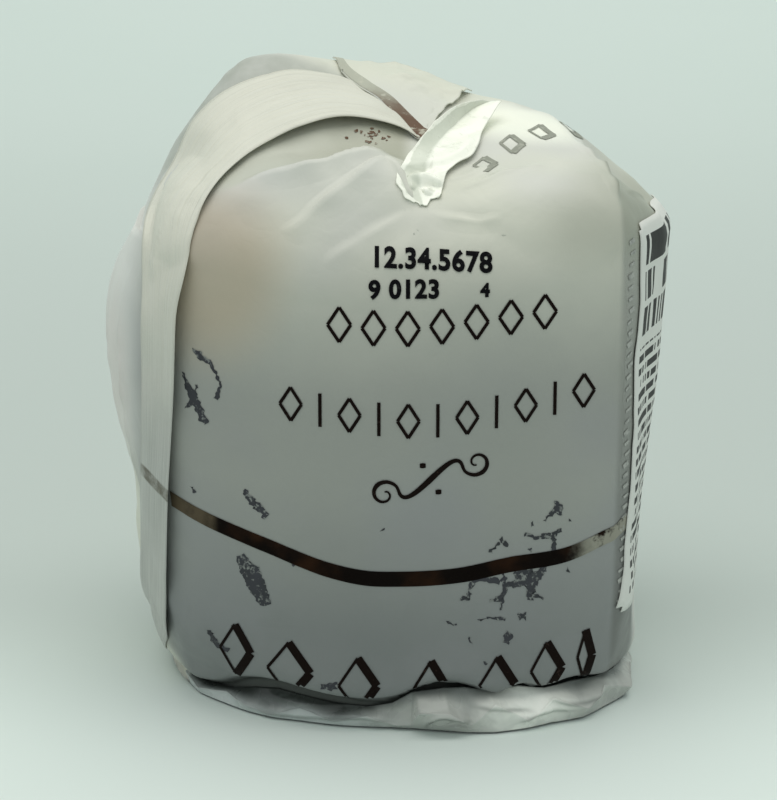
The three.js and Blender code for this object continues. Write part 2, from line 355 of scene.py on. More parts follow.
def film_relief(places):
    """How far the film stands out from its smooth form: folds, gathers at the foot, slack and crumple."""
    height = places[:, 2]
    angle = np.arctan2(places[:, 1], places[:, 0])
    degrees = np.degrees(angle)
    relief = np.zeros(len(places))
    for points, lift, width in FOLDS:
        apart, share = distance_to(route_through(points), places)
        relief += lift * np.exp(-apart / width) * fading(share, 0.2)

    above = height - FOOT_CREASE(degrees)
    on_foot = 1 - smooth_step(above, -1.2, 0.6)
    relief -= 1.4 * np.exp(-np.abs(above) / 0.7)
    relief += 0.8 * np.exp(-np.clip(above, 0, None) / 2.2) * smooth_step(above, -0.2, 0.8)
    facets = creased(places * (1, 1, 1.3), 9, 31)
    relief += on_foot * (FOOT_GATHERS(degrees) - 0.4 + 0.6 * facets)

    on_top = smooth_step(height, 76, 88)
    on_front = smooth_step(-places[:, 1], 28, 36) * smooth_step(above, 1, 5) * (1 - on_top)
    on_right = smooth_step(places[:, 0], 30, 38)
    relief += (0.55 - 0.25 * on_front - 0.2 * on_right) * roughly(places * (1, 1, 0.55), 26, 5) - 0.3
    slack = (0.34 + 0.2 * on_top - 0.26 * on_front) * (1 - on_foot)
    relief += slack * creased(places * (1, 1, 0.7), 17, 47)
    relief += 0.35 * slack * creased(places, 7, 53)
    return relief * smooth_step(height, 0.02, 0.6)


# ---------------------------------------------------------------- meshes

def vectors_in(items, key):
    """The three numbers that each of a mesh's items keeps under a key, as rows."""
    flat = np.empty(len(items) * 3, np.float32)
    items.foreach_get(key, flat)
    return flat.reshape(-1, 3).astype(float)


def points_of(mesh):
    return vectors_in(mesh.vertices, "co")


def normals_of(mesh):
    return vectors_in(mesh.vertex_normals, "vector")


def put_points(mesh, places):
    mesh.vertices.foreach_set("co", np.asarray(places, np.float32).ravel())
    mesh.update()


def in_metres(mesh):
    """Turns a mesh's millimetres into the frame's metres."""
    put_points(mesh, points_of(mesh) * MM)


def keep_on(mesh, name, values):
    """Keeps one number for each point on the mesh, for a material to read."""
    kept = mesh.attributes.new(name, "FLOAT", "POINT")
    kept.data.foreach_set("value", values.astype(np.float32))


def mesh_from(made, name):
    mesh = bpy.data.meshes.new(name)
    made.to_mesh(mesh)
    made.free()
    return mesh


def as_piece(name, mesh, material):
    """The finished mesh as a piece of the object, riding on its one body."""
    mesh.materials.append(material)
    mesh.shade_smooth()
    piece = bpy.data.objects.new(name, mesh)
    bpy.context.scene.collection.objects.link(piece)
    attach(piece, "root")
    return piece


def add_thickness(piece, thickness, offset):
    """A wall on a sheet: half of it on each side at an offset of 0, all of it outside at 1."""
    wall = piece.modifiers.new("thickness", "SOLIDIFY")
    wall.thickness = thickness * MM
    wall.offset = offset


def sphere_mesh(name, upright_lines, rings):
    """A sphere, with its points' directions and their shares of the way from its foot to its top."""
    made = bmesh.new()
    bmesh.ops.create_uvsphere(made, u_segments=upright_lines, v_segments=rings, radius=1)
    mesh = mesh_from(made, name)
    sphere = points_of(mesh)
    angle = np.arctan2(sphere[:, 1], sphere[:, 0])
    return mesh, angle, np.arcsin(np.clip(sphere[:, 2], -1, 1)) / math.pi + 0.5


# The wall of the wrap keeps this far from the upright axis, so that the cup stays inside it.
CUP_CLEAR = 35.7


def wrap_mesh():
    """The film's closed body, from a sphere whose rings are moved onto the wrap's form. More of its upright
    lines go to the front, where the film is seen most closely."""
    mesh, angle, ring = sphere_mesh("film_body", RING_POINTS, RINGS)
    turn = (angle + math.pi / 2 + math.pi) % math.tau - math.pi
    share = np.interp(np.abs(turn) / math.pi, [0, 0.62, 1], [0, 0.5, 1])
    angle = np.sign(turn) * math.pi * share - math.pi / 2
    rise = np.interp(ring, [0, 0.06, 0.22, 0.6, 1], [0, 1, 1.12, 2, 3])
    put_points(mesh, wrap_form(angle, rise))
    for _ in range(2):
        places, normals = points_of(mesh), normals_of(mesh)
        put_points(mesh, places + normals * film_relief(places)[:, None] / 2)
    places = points_of(mesh)
    degrees = np.degrees(np.arctan2(places[:, 1], places[:, 0]))
    below = FOOT_CREASE(degrees) - places[:, 2]
    on_front = smooth_step(degrees, -149, -145) * (1 - smooth_step(degrees, -26, -17))
    keep_on(mesh, "under_hem", smooth_step(below, -0.3, 0.5) * on_front)
    out = np.linalg.norm(places[:, :2], axis=1)
    tucked = out + smooth_step(below, 0, 0.8) * on_front * np.clip(CUP_CLEAR + 0.3 - out, None, 0)
    tucked = np.where((rise >= 1) & (places[:, 2] < 50), np.maximum(tucked, CUP_CLEAR), tucked)
    places[:, :2] *= (tucked / np.maximum(out, 1e-6))[:, None]
    places[:, 2] = np.maximum(places[:, 2], 0.3)
    put_points(mesh, places)
    return mesh


def surface_tree(mesh):
    return BVHTree.FromPolygons([tuple(p) for p in points_of(mesh)],
                                [tuple(f.vertices) for f in mesh.polygons])


def laid_on(tree, places, lift):
    """Places moved to lie on a surface, at a lift from it: one number, or one for each place."""
    lift = np.broadcast_to(lift, len(places))
    laid = np.array(places, float)
    for i, place in enumerate(places):
        found, normal, _, _ = tree.find_nearest(Vector(place))
        laid[i] = found + normal * lift[i]
    return laid


def kept_clear(tree, places, least):
    """Places pushed out of a surface wherever they are nearer to it than least."""
    least = np.broadcast_to(least, len(places))
    clear = np.array(places, float)
    for i, place in enumerate(places):
        found, normal, _, _ = tree.find_nearest(Vector(place))
        if (Vector(place) - found).dot(normal) < least[i]:
            clear[i] = found + normal * least[i]
    return clear


def dropped(places, ahead, lift):
    """Places moved straight ahead onto the wrap, at a lift from it."""
    landed = np.array(places, float)
    for i, place in enumerate(places):
        found, normal, _, _ = wrap_tree.ray_cast(Vector(place), Vector(ahead))
        landed[i] = found + normal * lift
    return landed


def grid_mesh(name, along, across, place_at):
    """A sheet of along by across cells. place_at gives the places for the shares along and across, and the
    shares are kept as the sheet's UV map."""
    made = bmesh.new()
    made.loops.layers.uv.new("chart")
    bmesh.ops.create_grid(made, x_segments=along, y_segments=across, size=0.5, calc_uvs=True)
    mesh = mesh_from(made, name)
    flat = points_of(mesh)
    put_points(mesh, place_at(flat[:, 0] + 0.5, flat[:, 1] + 0.5))
    return mesh


def between(first, second, along, across):
    """Places on the sheet ruled between two routes."""
    across = across[:, None]
    return first(along) * (1 - across) + second(along) * across


def loft(edges, along, across):
    """Places on the sheet ruled from the route through each list of points to the next, evenly across it."""
    lines = np.stack([route_through(points)(along) for points in edges])
    spot = across * (len(edges) - 1)
    first = np.clip(spot.astype(int), 0, len(edges) - 2)
    share = (spot - first)[:, None]
    each = np.arange(len(along))
    return lines[first, each] * (1 - share) + lines[first + 1, each] * share


def add_strip(made, along, across, place_at):
    """Adds a sheet of along by across cells. place_at moves its places, given from -0.5 to 0.5."""
    new = bmesh.ops.create_grid(made, x_segments=along, y_segments=across, size=0.5)["verts"]
    flat = np.array([vertex.co[:] for vertex in new])
    for vertex, place in zip(new, place_at(flat[:, 0], flat[:, 1])):
        vertex.co = place


def cut_away(mesh, is_outside):
    """Deletes the faces of a mesh that is_outside picks by the face and the mesh's UV layer, if any."""
    made = bmesh.new()
    made.from_mesh(mesh)
    chart = made.loops.layers.uv.get("chart")
    bmesh.ops.delete(made, geom=[face for face in made.faces if is_outside(face, chart)], context="FACES")
    made.to_mesh(mesh)
    made.free()


# ---------------------------------------------------------------- node materials

class Nodes:
    """One material with a Principled shader, and short ways to add nodes to its tree."""

    def __init__(self, name, **constants):
        self.material = bpy.data.materials.new(name)
        self.material.use_nodes = True
        self.tree = self.material.node_tree
        self.shader = self.tree.nodes["Principled BSDF"]
        for socket, value in constants.items():
            self.shader.inputs[socket.replace("_", " ")].default_value = value
        self.place = self.add("TexCoord").outputs["Object"]
        self.chart = self.add("TexCoord").outputs["UV"]

    def add(self, kind, **settings):
        node = self.tree.nodes.new("ShaderNode" + kind)
        for key, value in settings.items():
            setattr(node, key, value)
        return node

    def link(self, source, socket):
        """Joins a node's output to a socket, or puts a plain value in it."""
        if hasattr(source, "is_output"):
            self.tree.links.new(source, socket)
        else:
            socket.default_value = source

    def fill(self, node, **sources):
        for socket, source in sources.items():
            self.link(source, node.inputs[socket])

    def noise(self, scale, detail=3, roughness=0.5, vector=None, distortion=0.0):
        node = self.add("TexNoise")
        self.fill(node, Vector=vector or self.place, Scale=scale, Detail=detail, Roughness=roughness,
                  Distortion=distortion)
        return node.outputs["Fac"]

    def from_cell_edge(self, scale):
        """How far a place is from the edge of its cell, in a pattern of irregular cells."""
        node = self.add("TexVoronoi", feature="DISTANCE_TO_EDGE")
        self.fill(node, Vector=self.place, Scale=scale)
        return node.outputs["Distance"]

    def stretched(self, scale, location=(0, 0, 0), vector=None):
        node = self.add("Mapping")
        self.fill(node, Vector=vector or self.place, Scale=scale, Location=location)
        return node.outputs["Vector"]

    def attribute(self, name):
        return self.add("Attribute", attribute_name=name).outputs["Fac"]

    def math(self, operation, first, second=0.0):
        node = self.add("Math", operation=operation)
        self.link(first, node.inputs[0])
        self.link(second, node.inputs[1])
        return node.outputs["Value"]

    def times(self, *values):
        product = values[0]
        for value in values[1:]:
            product = self.math("MULTIPLY", product, value)
        return product

    def plus(self, first, second):
        return self.math("ADD", first, second)

    def minus(self, first, second):
        return self.math("SUBTRACT", first, second)

    def swayed(self, value, noise, reach):
        """A value moved to and fro by a noise whose middle is 0.5."""
        return self.plus(value, self.times(self.minus(noise, 0.5), reach))

    def ramp(self, value, low, high, to_low=0.0, to_high=1.0):
        """A smooth rise from to_low to to_high as value goes from low to high."""
        node = self.add("MapRange", interpolation_type="SMOOTHSTEP")
        for socket, number in zip(node.inputs, (value, low, high, to_low, to_high)):
            self.link(number, socket)
        return node.outputs["Result"]

    def mix(self, share, first, second, blend="MIX"):
        node = self.add("Mix", data_type="RGBA", blend_type=blend)
        sockets = {socket.identifier: socket for socket in node.inputs}
        for name, value in (("Factor_Float", share), ("A_Color", first), ("B_Color", second)):
            self.link(value, sockets[name])
        return next(socket for socket in node.outputs if socket.identifier == "Result_Color")

    def tinted(self, base, colour, *shares):
        """A colour laid over base, as strongly as its shares multiplied together."""
        return self.mix(self.times(*shares), base, colour)

    def xyz(self, vector=None):
        node = self.add("SeparateXYZ")
        self.link(vector or self.place, node.inputs[0])
        return node.outputs

    def blob(self, middle, sizes):
        """1 at a point and falling to 0 at the sides of an ellipsoid, in metres."""
        mapped = self.stretched([1 / size for size in sizes], [-m / size for m, size in zip(middle, sizes)])
        length = self.add("VectorMath", operation="LENGTH")
        self.link(mapped, length.inputs[0])
        return self.ramp(length.outputs["Value"], 0.35, 1.0, 1.0, 0.0)

    def bump(self, height, strength, distance, over=None):
        """The surface's slope from a height, over another bump where one is given."""
        node = self.add("Bump")
        self.fill(node, Height=height, Strength=strength, Distance=distance)
        if over is not None:
            self.link(over, node.inputs["Normal"])
        return node.outputs["Normal"]

    def colour(self, source):
        self.link(source, self.shader.inputs["Base Color"])

    def rough(self, noise, least, most):
        """Roughness that goes from least to most with a noise."""
        self.link(self.ramp(noise, 0.3, 0.7, least, most), self.shader.inputs["Roughness"])

    def normal(self, source):
        self.link(source, self.shader.inputs["Normal"])


def film_bump(nodes, strength=1.0):
    """The fine waves of thin film: long soft ones with a little sharper rustle over them."""
    waves = nodes.noise(75, 3, 0.5, distortion=0.8)
    rustle = nodes.math("ABSOLUTE", nodes.minus(nodes.noise(210, 3, 0.5, distortion=0.5), 0.5))
    nodes.normal(nodes.bump(nodes.plus(waves, nodes.times(rustle, 0.35)), 0.35 * strength, 0.0009))


# Colours of the film. Its own milk has two soft tones.
FILM_MILKY = (0.67, 0.675, 0.575, 1)
FILM_LILAC = (0.61, 0.615, 0.585, 1)
# Where the loaf and its cup lie close behind it, and the cooler clouds over that.
FILM_DARK = (0.192, 0.204, 0.200, 1)
FILM_COOL = (0.27, 0.275, 0.285, 1)
# Where the loaf's crust shows near the shoulder, and a blush on the left side.
FILM_WARM = (0.44, 0.37, 0.27, 1)
FILM_BLUSH = (0.66, 0.58, 0.54, 1)
# Painted shade on the strip beside the label, which turns away from the light: at its lower and its upper
# end.
STRIP_SHADE_LOW = (0.145, 0.15, 0.14, 1)
STRIP_SHADE_HIGH = (0.29, 0.30, 0.27, 1)
# On the top: the painted lit patch on the right, painted shade on the right side's film folded over, and
# painted shade on the film behind the seal.
FILM_LIT = (0.93, 0.94, 0.82, 1)
FILM_FOLD_SHADE = (0.33, 0.345, 0.28, 1)
FILM_SHADE_BEHIND_SEAL = (0.40, 0.42, 0.37, 1)
# Painted shade in the recess in front of the seal, at its left and its right end.
RECESS_SHADE_LEFT = (0.52, 0.53, 0.45, 1)
RECESS_SHADE_RIGHT = (0.40, 0.405, 0.32, 1)
# The left bulge, which stands free of the loaf and so is paler, with painted light over that, and the shadow
# where the front is tucked under.
FILM_FREE_AND_LIT = (0.80, 0.81, 0.77, 1)
FILM_UNDER_HEM = (0.05, 0.055, 0.05, 1)


def film_colour(nodes):
    """The film's own milk, tinted by what lies close behind it, with painted shade and painted light over it.
    """
    x, y, z = nodes.xyz()
    ramp, times = nodes.ramp, nodes.times
    base = nodes.mix(ramp(nodes.noise(22, 2, 0.5), 0.42, 0.62), FILM_MILKY, FILM_LILAC)

    depth = nodes.swayed(z, nodes.noise(34, 3, 0.55), 0.014)
    loaf_and_cup = nodes.plus(times(ramp(depth, 0.090, 0.052), 0.76), times(ramp(depth, 0.042, 0.012), 0.24))
    foot_clear = times(ramp(z, 0.0075, 0.0035), ramp(y, -0.022, -0.014))
    near = times(loaf_and_cup, ramp(y, -0.009, -0.023), ramp(x, 0.018, 0.034, 1.0, 0.94),
                 nodes.minus(1.0, foot_clear))
    base = nodes.tinted(base, FILM_DARK, near)
    base = nodes.tinted(base, FILM_COOL, near, ramp(nodes.noise(45, 3, 0.6), 0.45, 0.7, 0.0, 0.3))
    base = nodes.tinted(base, FILM_WARM, nodes.blob((-0.028, -0.034, 0.074), (0.017, 0.018, 0.020)), 0.75)

    # Painted shade on the strip beside the label, darker towards its foot.
    strip = nodes.mix(ramp(z, 0.02, 0.075), STRIP_SHADE_LOW, STRIP_SHADE_HIGH)
    base = nodes.tinted(base, strip, ramp(x, 0.0348, 0.0360), ramp(y, -0.016, -0.022), ramp(z, 0.084, 0.081),
                        0.8)
    base = nodes.tinted(base, FILM_LIT, nodes.blob((0.022, -0.003, 0.0925), (0.015, 0.013, 0.012)), 0.9)

    # Painted shade on the right side's film folded over the top, darkest towards the right corner and past
    # the facet's edge.
    to_corner = nodes.minus(x, times(y, 0.5))
    past_edge = nodes.plus(x, times(y, 0.14))
    folded = nodes.plus(ramp(to_corner, 0.036, 0.046, 0.0, 0.55), ramp(past_edge, 0.0307, 0.0320, 0.0, 0.45))
    base = nodes.tinted(base, FILM_FOLD_SHADE, folded, ramp(z, 0.071, 0.080), ramp(y, 0.014, 0.004, 0.3, 0.9))
    # The left bulge: paler as it stands free of the loaf, and brightened further with painted light.
    base = nodes.tinted(base, FILM_FREE_AND_LIT, ramp(x, -0.037, -0.043), ramp(z, 0.030, 0.045), 0.55)

    # Painted shade on the film tucked behind the seal at the top left, broken up by a noise.
    shade_behind_seal = times(ramp(x, -0.004, -0.009), ramp(z, 0.078, 0.084), ramp(y, -0.004, -0.002),
                        ramp(nodes.plus(y, times(x, 0.25)), 0.0075, 0.002))
    base = nodes.tinted(base, FILM_SHADE_BEHIND_SEAL, shade_behind_seal, ramp(nodes.noise(150, 3, 0.6), 0.3, 0.7, 0.6, 1.0))

    # Painted shade in the recess under the seal's overhanging edge, lighter at the left end.
    recess_shade = times(ramp(nodes.minus(y, times(x, 0.2)), -0.0217, -0.0205), ramp(x, 0.0045, 0.0015),
                   ramp(z, 0.083, 0.085), ramp(y, -0.004, -0.008))
    base = nodes.tinted(base, nodes.mix(ramp(x, -0.020, 0.0), RECESS_SHADE_LEFT, RECESS_SHADE_RIGHT), recess_shade, 0.9)
    base = nodes.tinted(base, FILM_UNDER_HEM, nodes.attribute("under_hem"))
    return nodes.tinted(base, FILM_BLUSH, nodes.blob((-0.046, -0.012, 0.052), (0.008, 0.02, 0.02)), 0.35)


def film_material():
    """The wrap's milky film."""
    nodes = Nodes("milky_film", Roughness=0.42, Specular_IOR_Level=0.35)
    nodes.colour(film_colour(nodes))
    nodes.rough(nodes.noise(90, 3), 0.36, 0.5)
    film_bump(nodes)
    return nodes.material


def seal_material():
    """The welded film of the seals: two layers, so paler and less marked, with fine pressed ribs along it,
    and painted shade low down and painted light higher up. The bronze band runs on faintly over the seal."""
    nodes = Nodes("sealed_film", Roughness=0.4, Specular_IOR_Level=0.35)
    x, y, z = nodes.xyz()
    # Painted shade low on the seal, where it runs down the side, and painted light higher up, where it lies
    # over the top.
    upper = nodes.ramp(nodes.plus(z, nodes.times(nodes.noise(60, 3, 0.55), 0.012)), 0.045, 0.086)
    base = nodes.mix(upper, (0.43, 0.44, 0.41, 1), (0.71, 0.70, 0.60, 1))
    ribs = nodes.noise(1.0, 2, 0.6, vector=nodes.stretched((5, 70, 1), vector=nodes.chart))
    base = nodes.tinted(base, (0.66, 0.67, 0.62, 1), nodes.ramp(ribs, 0.42, 0.62, 0.0, 0.4))
    base = nodes.tinted(base, (0.32, 0.34, 0.31, 1), nodes.ramp(ribs, 0.46, 0.34, 0.0, 0.18))
    from_band = nodes.plus(nodes.times(x, 0.54), nodes.minus(z, 0.0181))
    band = nodes.times(nodes.ramp(nodes.math("ABSOLUTE", from_band), 0.0013, 0.0009),
                       nodes.ramp(x, -0.0398, -0.0385), nodes.ramp(y, -0.010, -0.014))
    worn = nodes.ramp(nodes.noise(420, 4, 0.65), 0.35, 0.65, 0.95, 0.4)
    nodes.colour(nodes.tinted(base, (0.12, 0.11, 0.08, 1), band, worn))
    nodes.rough(nodes.noise(110, 3), 0.34, 0.48)
    nodes.normal(nodes.bump(nodes.noise(170, 4, 0.55), 0.3, 0.0008, over=nodes.bump(ribs, 0.35, 0.0006)))
    return nodes.material


def ear_material():
    """Single film standing free of the loaf, painted bright where light comes through it, so it is the
    brightest. Its chart runs from the rim on its left, over the hollow strip beside it, painted in shade, to
    the bright right side, with painted shade along fine creases."""
    nodes = Nodes("lit_film", Roughness=0.3, Specular_IOR_Level=0.5)
    side = nodes.swayed(nodes.xyz(nodes.chart)[1], nodes.noise(210, 4, 0.6), 0.3)
    # Painted shade on the hollow strip beside the rim.
    hollow = nodes.times(nodes.ramp(side, 0.05, 0.10), nodes.ramp(side, 0.56, 0.44))
    base = nodes.mix(hollow, (0.96, 0.97, 0.86, 1), (0.70, 0.73, 0.62, 1))
    # Painted shade along fine creases.
    crease_shade = nodes.ramp(nodes.noise(380, 3, 0.6, distortion=1.0), 0.56, 0.66)
    nodes.colour(nodes.tinted(base, (0.60, 0.62, 0.52, 1), crease_shade, 0.35))
    nodes.rough(nodes.noise(200, 3), 0.22, 0.4)
    film_bump(nodes, 1.6)
    return nodes.material


def stripe_material():
    """A printed stripe on the back flap's edge, grey-green far back and brown where it meets the front."""
    nodes = Nodes("edge_stripe", Roughness=0.5, Specular_IOR_Level=0.15)
    worn = nodes.noise(500, 4, 0.65)
    forward = nodes.ramp(nodes.swayed(nodes.xyz()[1], worn, 0.008), 0.004, -0.007)
    base = nodes.mix(forward, (0.44, 0.45, 0.37, 1), (0.13, 0.075, 0.045, 1))
    nodes.colour(nodes.tinted(base, (0.55, 0.54, 0.45, 1), nodes.ramp(worn, 0.52, 0.66, 0.0, 0.75)))
    nodes.rough(worn, 0.4, 0.6)
    return nodes.material


def foot_material():
    """The gathered foot's film: grey on the left and milky on the right, with painted shade high up where it
    is turned under, darkest on the left, a painted highlight on the right, and painted shade under its folds."""
    nodes = Nodes("foot_film", Roughness=0.32, Specular_IOR_Level=0.5)
    cloud = nodes.noise(90, 3, 0.55)
    # Painted shade high up on the foot, under the front's overhang, fading towards the ground.
    depth = nodes.swayed(nodes.xyz(nodes.chart)[1], cloud, 0.3)
    left_film = nodes.mix(nodes.ramp(depth, 0.10, 0.72), (0.035, 0.04, 0.036, 1), (0.49, 0.53, 0.515, 1))
    right_film = nodes.mix(nodes.ramp(depth, 0.05, 0.3), (0.16, 0.172, 0.16, 1), (0.46, 0.475, 0.44, 1))
    # A painted highlight on the foot's right facets.
    lit = nodes.blob((0.0235, -0.041, 0.003), (0.0115, 0.012, 0.009))
    right_film = nodes.tinted(right_film, (0.90, 0.92, 0.85, 1), lit, 0.9)
    to_right = nodes.ramp(nodes.swayed(nodes.xyz()[0], cloud, 0.02), -0.010, 0.012)
    smudge = nodes.ramp(nodes.noise(150, 3, 0.6, distortion=0.6), 0.5, 0.68)
    base = nodes.tinted(nodes.mix(to_right, left_film, right_film), (0.22, 0.24, 0.23, 1), smudge, 0.25)
    # Painted shade just under each fold.
    nodes.colour(nodes.tinted(base, (0.09, 0.10, 0.09, 1), nodes.attribute("fold_shade"), 0.8))
    nodes.rough(nodes.noise(200, 3), 0.22, 0.4)
    film_bump(nodes)
    return nodes.material


def bronze_material():
    """Dark bronze print, worn thin where it runs on to the seal and over the corner."""
    nodes = Nodes("bronze_print", Roughness=0.3, Specular_IOR_Level=0.05)
    x = nodes.xyz()[0]
    worn = nodes.noise(260, 4, 0.65)
    base = nodes.mix(nodes.ramp(nodes.noise(120, 3, 0.6), 0.45, 0.75, 0.0, 0.5), (0.003, 0.0012, 0.0006, 1),
                     (0.045, 0.017, 0.006, 1))
    at_seal = nodes.ramp(x, -0.0262, -0.0278)
    base = nodes.tinted(base, (0.090, 0.070, 0.045, 1), at_seal, nodes.ramp(worn, 0.3, 0.6, 0.55, 1.0))
    at_corner = nodes.ramp(nodes.plus(x, nodes.times(worn, 0.006)), 0.0305, 0.0350)
    nodes.colour(nodes.tinted(base, (0.29, 0.285, 0.235, 1), at_corner, nodes.ramp(worn, 0.62, 0.5)))
    nodes.rough(worn, 0.26, 0.5)
    nodes.normal(nodes.bump(worn, 0.2, 0.0002))
    return nodes.material


def ink_material(name, colour, worn_colour, wear=0.62):
    """Printed ink, worn to another colour in specks; wear is how little of it is worn."""
    nodes = Nodes(name, Roughness=0.45, Specular_IOR_Level=0.05)
    worn = nodes.noise(1100, 4, 0.65)
    nodes.colour(nodes.mix(nodes.ramp(worn, wear, wear + 0.08), colour, worn_colour))
    nodes.rough(worn, 0.36, 0.55)
    return nodes.material


def grease_material():
    """Butter wetting the film through to the dark cup, with dry specks left in it."""
    nodes = Nodes("grease_mark", Roughness=0.36, Specular_IOR_Level=0.25)
    dry = nodes.plus(nodes.noise(1500, 3, 0.6, distortion=0.5), nodes.times(nodes.noise(160, 3, 0.5), 0.5))
    shade = nodes.mix(nodes.noise(260, 3), (0.016, 0.019, 0.018, 1), (0.050, 0.050, 0.064, 1))
    nodes.colour(nodes.tinted(shade, (0.20, 0.21, 0.20, 1), nodes.ramp(dry, 0.80, 0.92)))
    return nodes.material


def label_material():
    """White paper with plain upright bars where a label's heading would be, and thin broken lines below
    them."""
    nodes = Nodes("label_paper", Roughness=0.5, Specular_IOR_Level=0.1)
    u, v, _ = nodes.xyz(nodes.chart)
    paper = nodes.mix(nodes.noise(120, 4), (0.66, 0.67, 0.63, 1), (0.73, 0.74, 0.70, 1))

    def above(value, low):
        return nodes.math("GREATER_THAN", value, low)

    def within(value, low, high):
        return nodes.times(above(value, low), nodes.math("LESS_THAN", value, high))

    def whole(value):
        return nodes.math("FLOOR", value)

    def chance(row, column, seed):
        """A random number from 0 to 1 for each cell."""
        cell = nodes.add("CombineXYZ")
        for socket, value in zip(cell.inputs, (row, column, seed)):
            nodes.link(value, socket)
        white = nodes.add("TexWhiteNoise")
        nodes.link(cell.outputs[0], white.inputs["Vector"])
        return white.outputs["Value"]

    between_margins = within(u, 0.07, 0.93)
    heading_low, heading_high, heading_rows, bar_columns = 0.70, 0.97, 3, 34
    row = nodes.times(nodes.minus(heading_high, v), heading_rows / (heading_high - heading_low))
    bar = above(chance(whole(row), whole(nodes.times(u, bar_columns)), 2), 0.40)
    heading = nodes.times(within(v, heading_low, heading_high), between_margins, bar,
                          within(nodes.math("FRACT", row), 0.05, 0.86))
    line_count, dash_columns = 30, 44
    line = nodes.times(v, line_count)
    dash = above(chance(whole(line), whole(nodes.times(u, dash_columns)), 5), 0.3)
    lines = nodes.times(within(v, 0.04, 0.68), between_margins, dash,
                        within(nodes.math("FRACT", line), 0.24, 0.80))
    print_here = nodes.math("MAXIMUM", heading, lines)
    nodes.colour(nodes.tinted(paper, (0.004, 0.004, 0.0045, 1), print_here, 0.97))
    nodes.normal(nodes.bump(nodes.noise(900, 4), 0.15, 0.0003))
    return nodes.material


def crust_material():
    """Baked crust, darkest on the dome, with the crumb's pores in it."""
    nodes = Nodes("baked_crust", Roughness=0.62, Specular_IOR_Level=0.35)
    browned = nodes.ramp(nodes.plus(nodes.ramp(nodes.xyz()[2], 0.05, 0.08), nodes.noise(70, 4)), 0.5, 1.4)
    crust = nodes.mix(browned, (0.42, 0.19, 0.06, 1), (0.13, 0.045, 0.015, 1))
    crumb = nodes.ramp(nodes.from_cell_edge(330), 0.0, 0.18)
    nodes.colour(nodes.tinted(crust, (0.60, 0.36, 0.15, 1), nodes.minus(1.0, crumb), 0.35))
    height = nodes.plus(nodes.noise(260, 5, 0.6), nodes.times(crumb, 0.5))
    nodes.normal(nodes.bump(height, 0.8, 0.0012))
    return nodes.material


def baking_paper_material():
    """Brown paper with upright fibres."""
    nodes = Nodes("baking_paper", Roughness=0.75)
    fibres = nodes.noise(400, 4, 0.6, vector=nodes.stretched((1, 1, 0.2)))
    nodes.colour(nodes.mix(nodes.ramp(fibres, 0.3, 0.7), (0.13, 0.065, 0.03, 1), (0.20, 0.105, 0.05, 1)))
    nodes.normal(nodes.bump(fibres, 0.3, 0.0003))
    return nodes.material


# ---------------------------------------------------------------- the wrap and what is folded over it

FILM = film_material()
SEAL = seal_material()
LIT = ear_material()
STRIPE = stripe_material()
FOOT = foot_material()
BRONZE = bronze_material()
BROWN_INK = ink_material("brown_ink", (0.007, 0.0035, 0.0025, 1), (0.032, 0.02, 0.016, 1))
BLACK_INK = ink_material("black_ink", (0.004, 0.004, 0.005, 1), (0.02, 0.02, 0.02, 1))
PALE_INK = ink_material("pale_ink", (0.30, 0.31, 0.26, 1), (0.40, 0.41, 0.35, 1), 0.55)
FAINT_INK = ink_material("faint_ink", (0.40, 0.41, 0.38, 1), (0.30, 0.31, 0.29, 1), 0.5)

body_mesh = wrap_mesh()
wrap_tree = surface_tree(body_mesh)


def print_piece(name, mesh, material):
    """Print on the film, which has no thickness of its own."""
    in_metres(mesh)
    return as_piece(name, mesh, material)


def film_piece(name, mesh, material):
    """A sheet of film with a real thickness."""
    piece = print_piece(name, mesh, material)
    add_thickness(piece, FILM_THICKNESS, 0)
    return piece


def build_body():
    """The film's closed body, which stands for the wrap's own node."""
    body = film_piece("wrap_body", body_mesh, FILM)
    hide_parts("film_wrapper")
    return body


# The free edge and the welded root of the end seal, from the foot up the left front edge and over the top.
SEAL_FREE = [
    (-36.6, -14, 4.3), (-36.2, -22, 11), (-35.6, -26.5, 20), (-34.6, -31, 35), (-33.8, -32.2, 44.6),
    (-33.1, -33, 52.8), (-32.7, -33.2, 60), (-32.2, -33.4, 67), (-31, -33, 72), (-29.6, -30.5, 78),
    (-28.4, -28, 82), (-26.7, -25, 84.6), (-22.6, -20, 88), (-18.2, -16, 90.2), (-13.6, -13, 91.8),
    (-7.2, -10, 92.8), (-2.5, -9, 92.2), (2.5, -9.5, 90.8), (5, -11, 89.4),
]
SEAL_ROOT = [
    (-37.8, -3, 3.5), (-41, -9, 12), (-40.4, -18, 24), (-39.4, -24, 37), (-38.6, -27, 47.6),
    (-38.4, -28, 57.6), (-38.2, -26, 67), (-38.5, -20, 75), (-37.8, -10, 79.6), (-34.8, -3.5, 84.6),
    (-31.4, -1, 91.1), (-28.2, 0.5, 94.1), (-24.2, 2, 96.2), (-20.1, 3.5, 97.4), (-16.1, 4.5, 98.1),
    (-12, 5, 97.8), (-7.9, 5, 97.0), (-2, 1, 94),
]


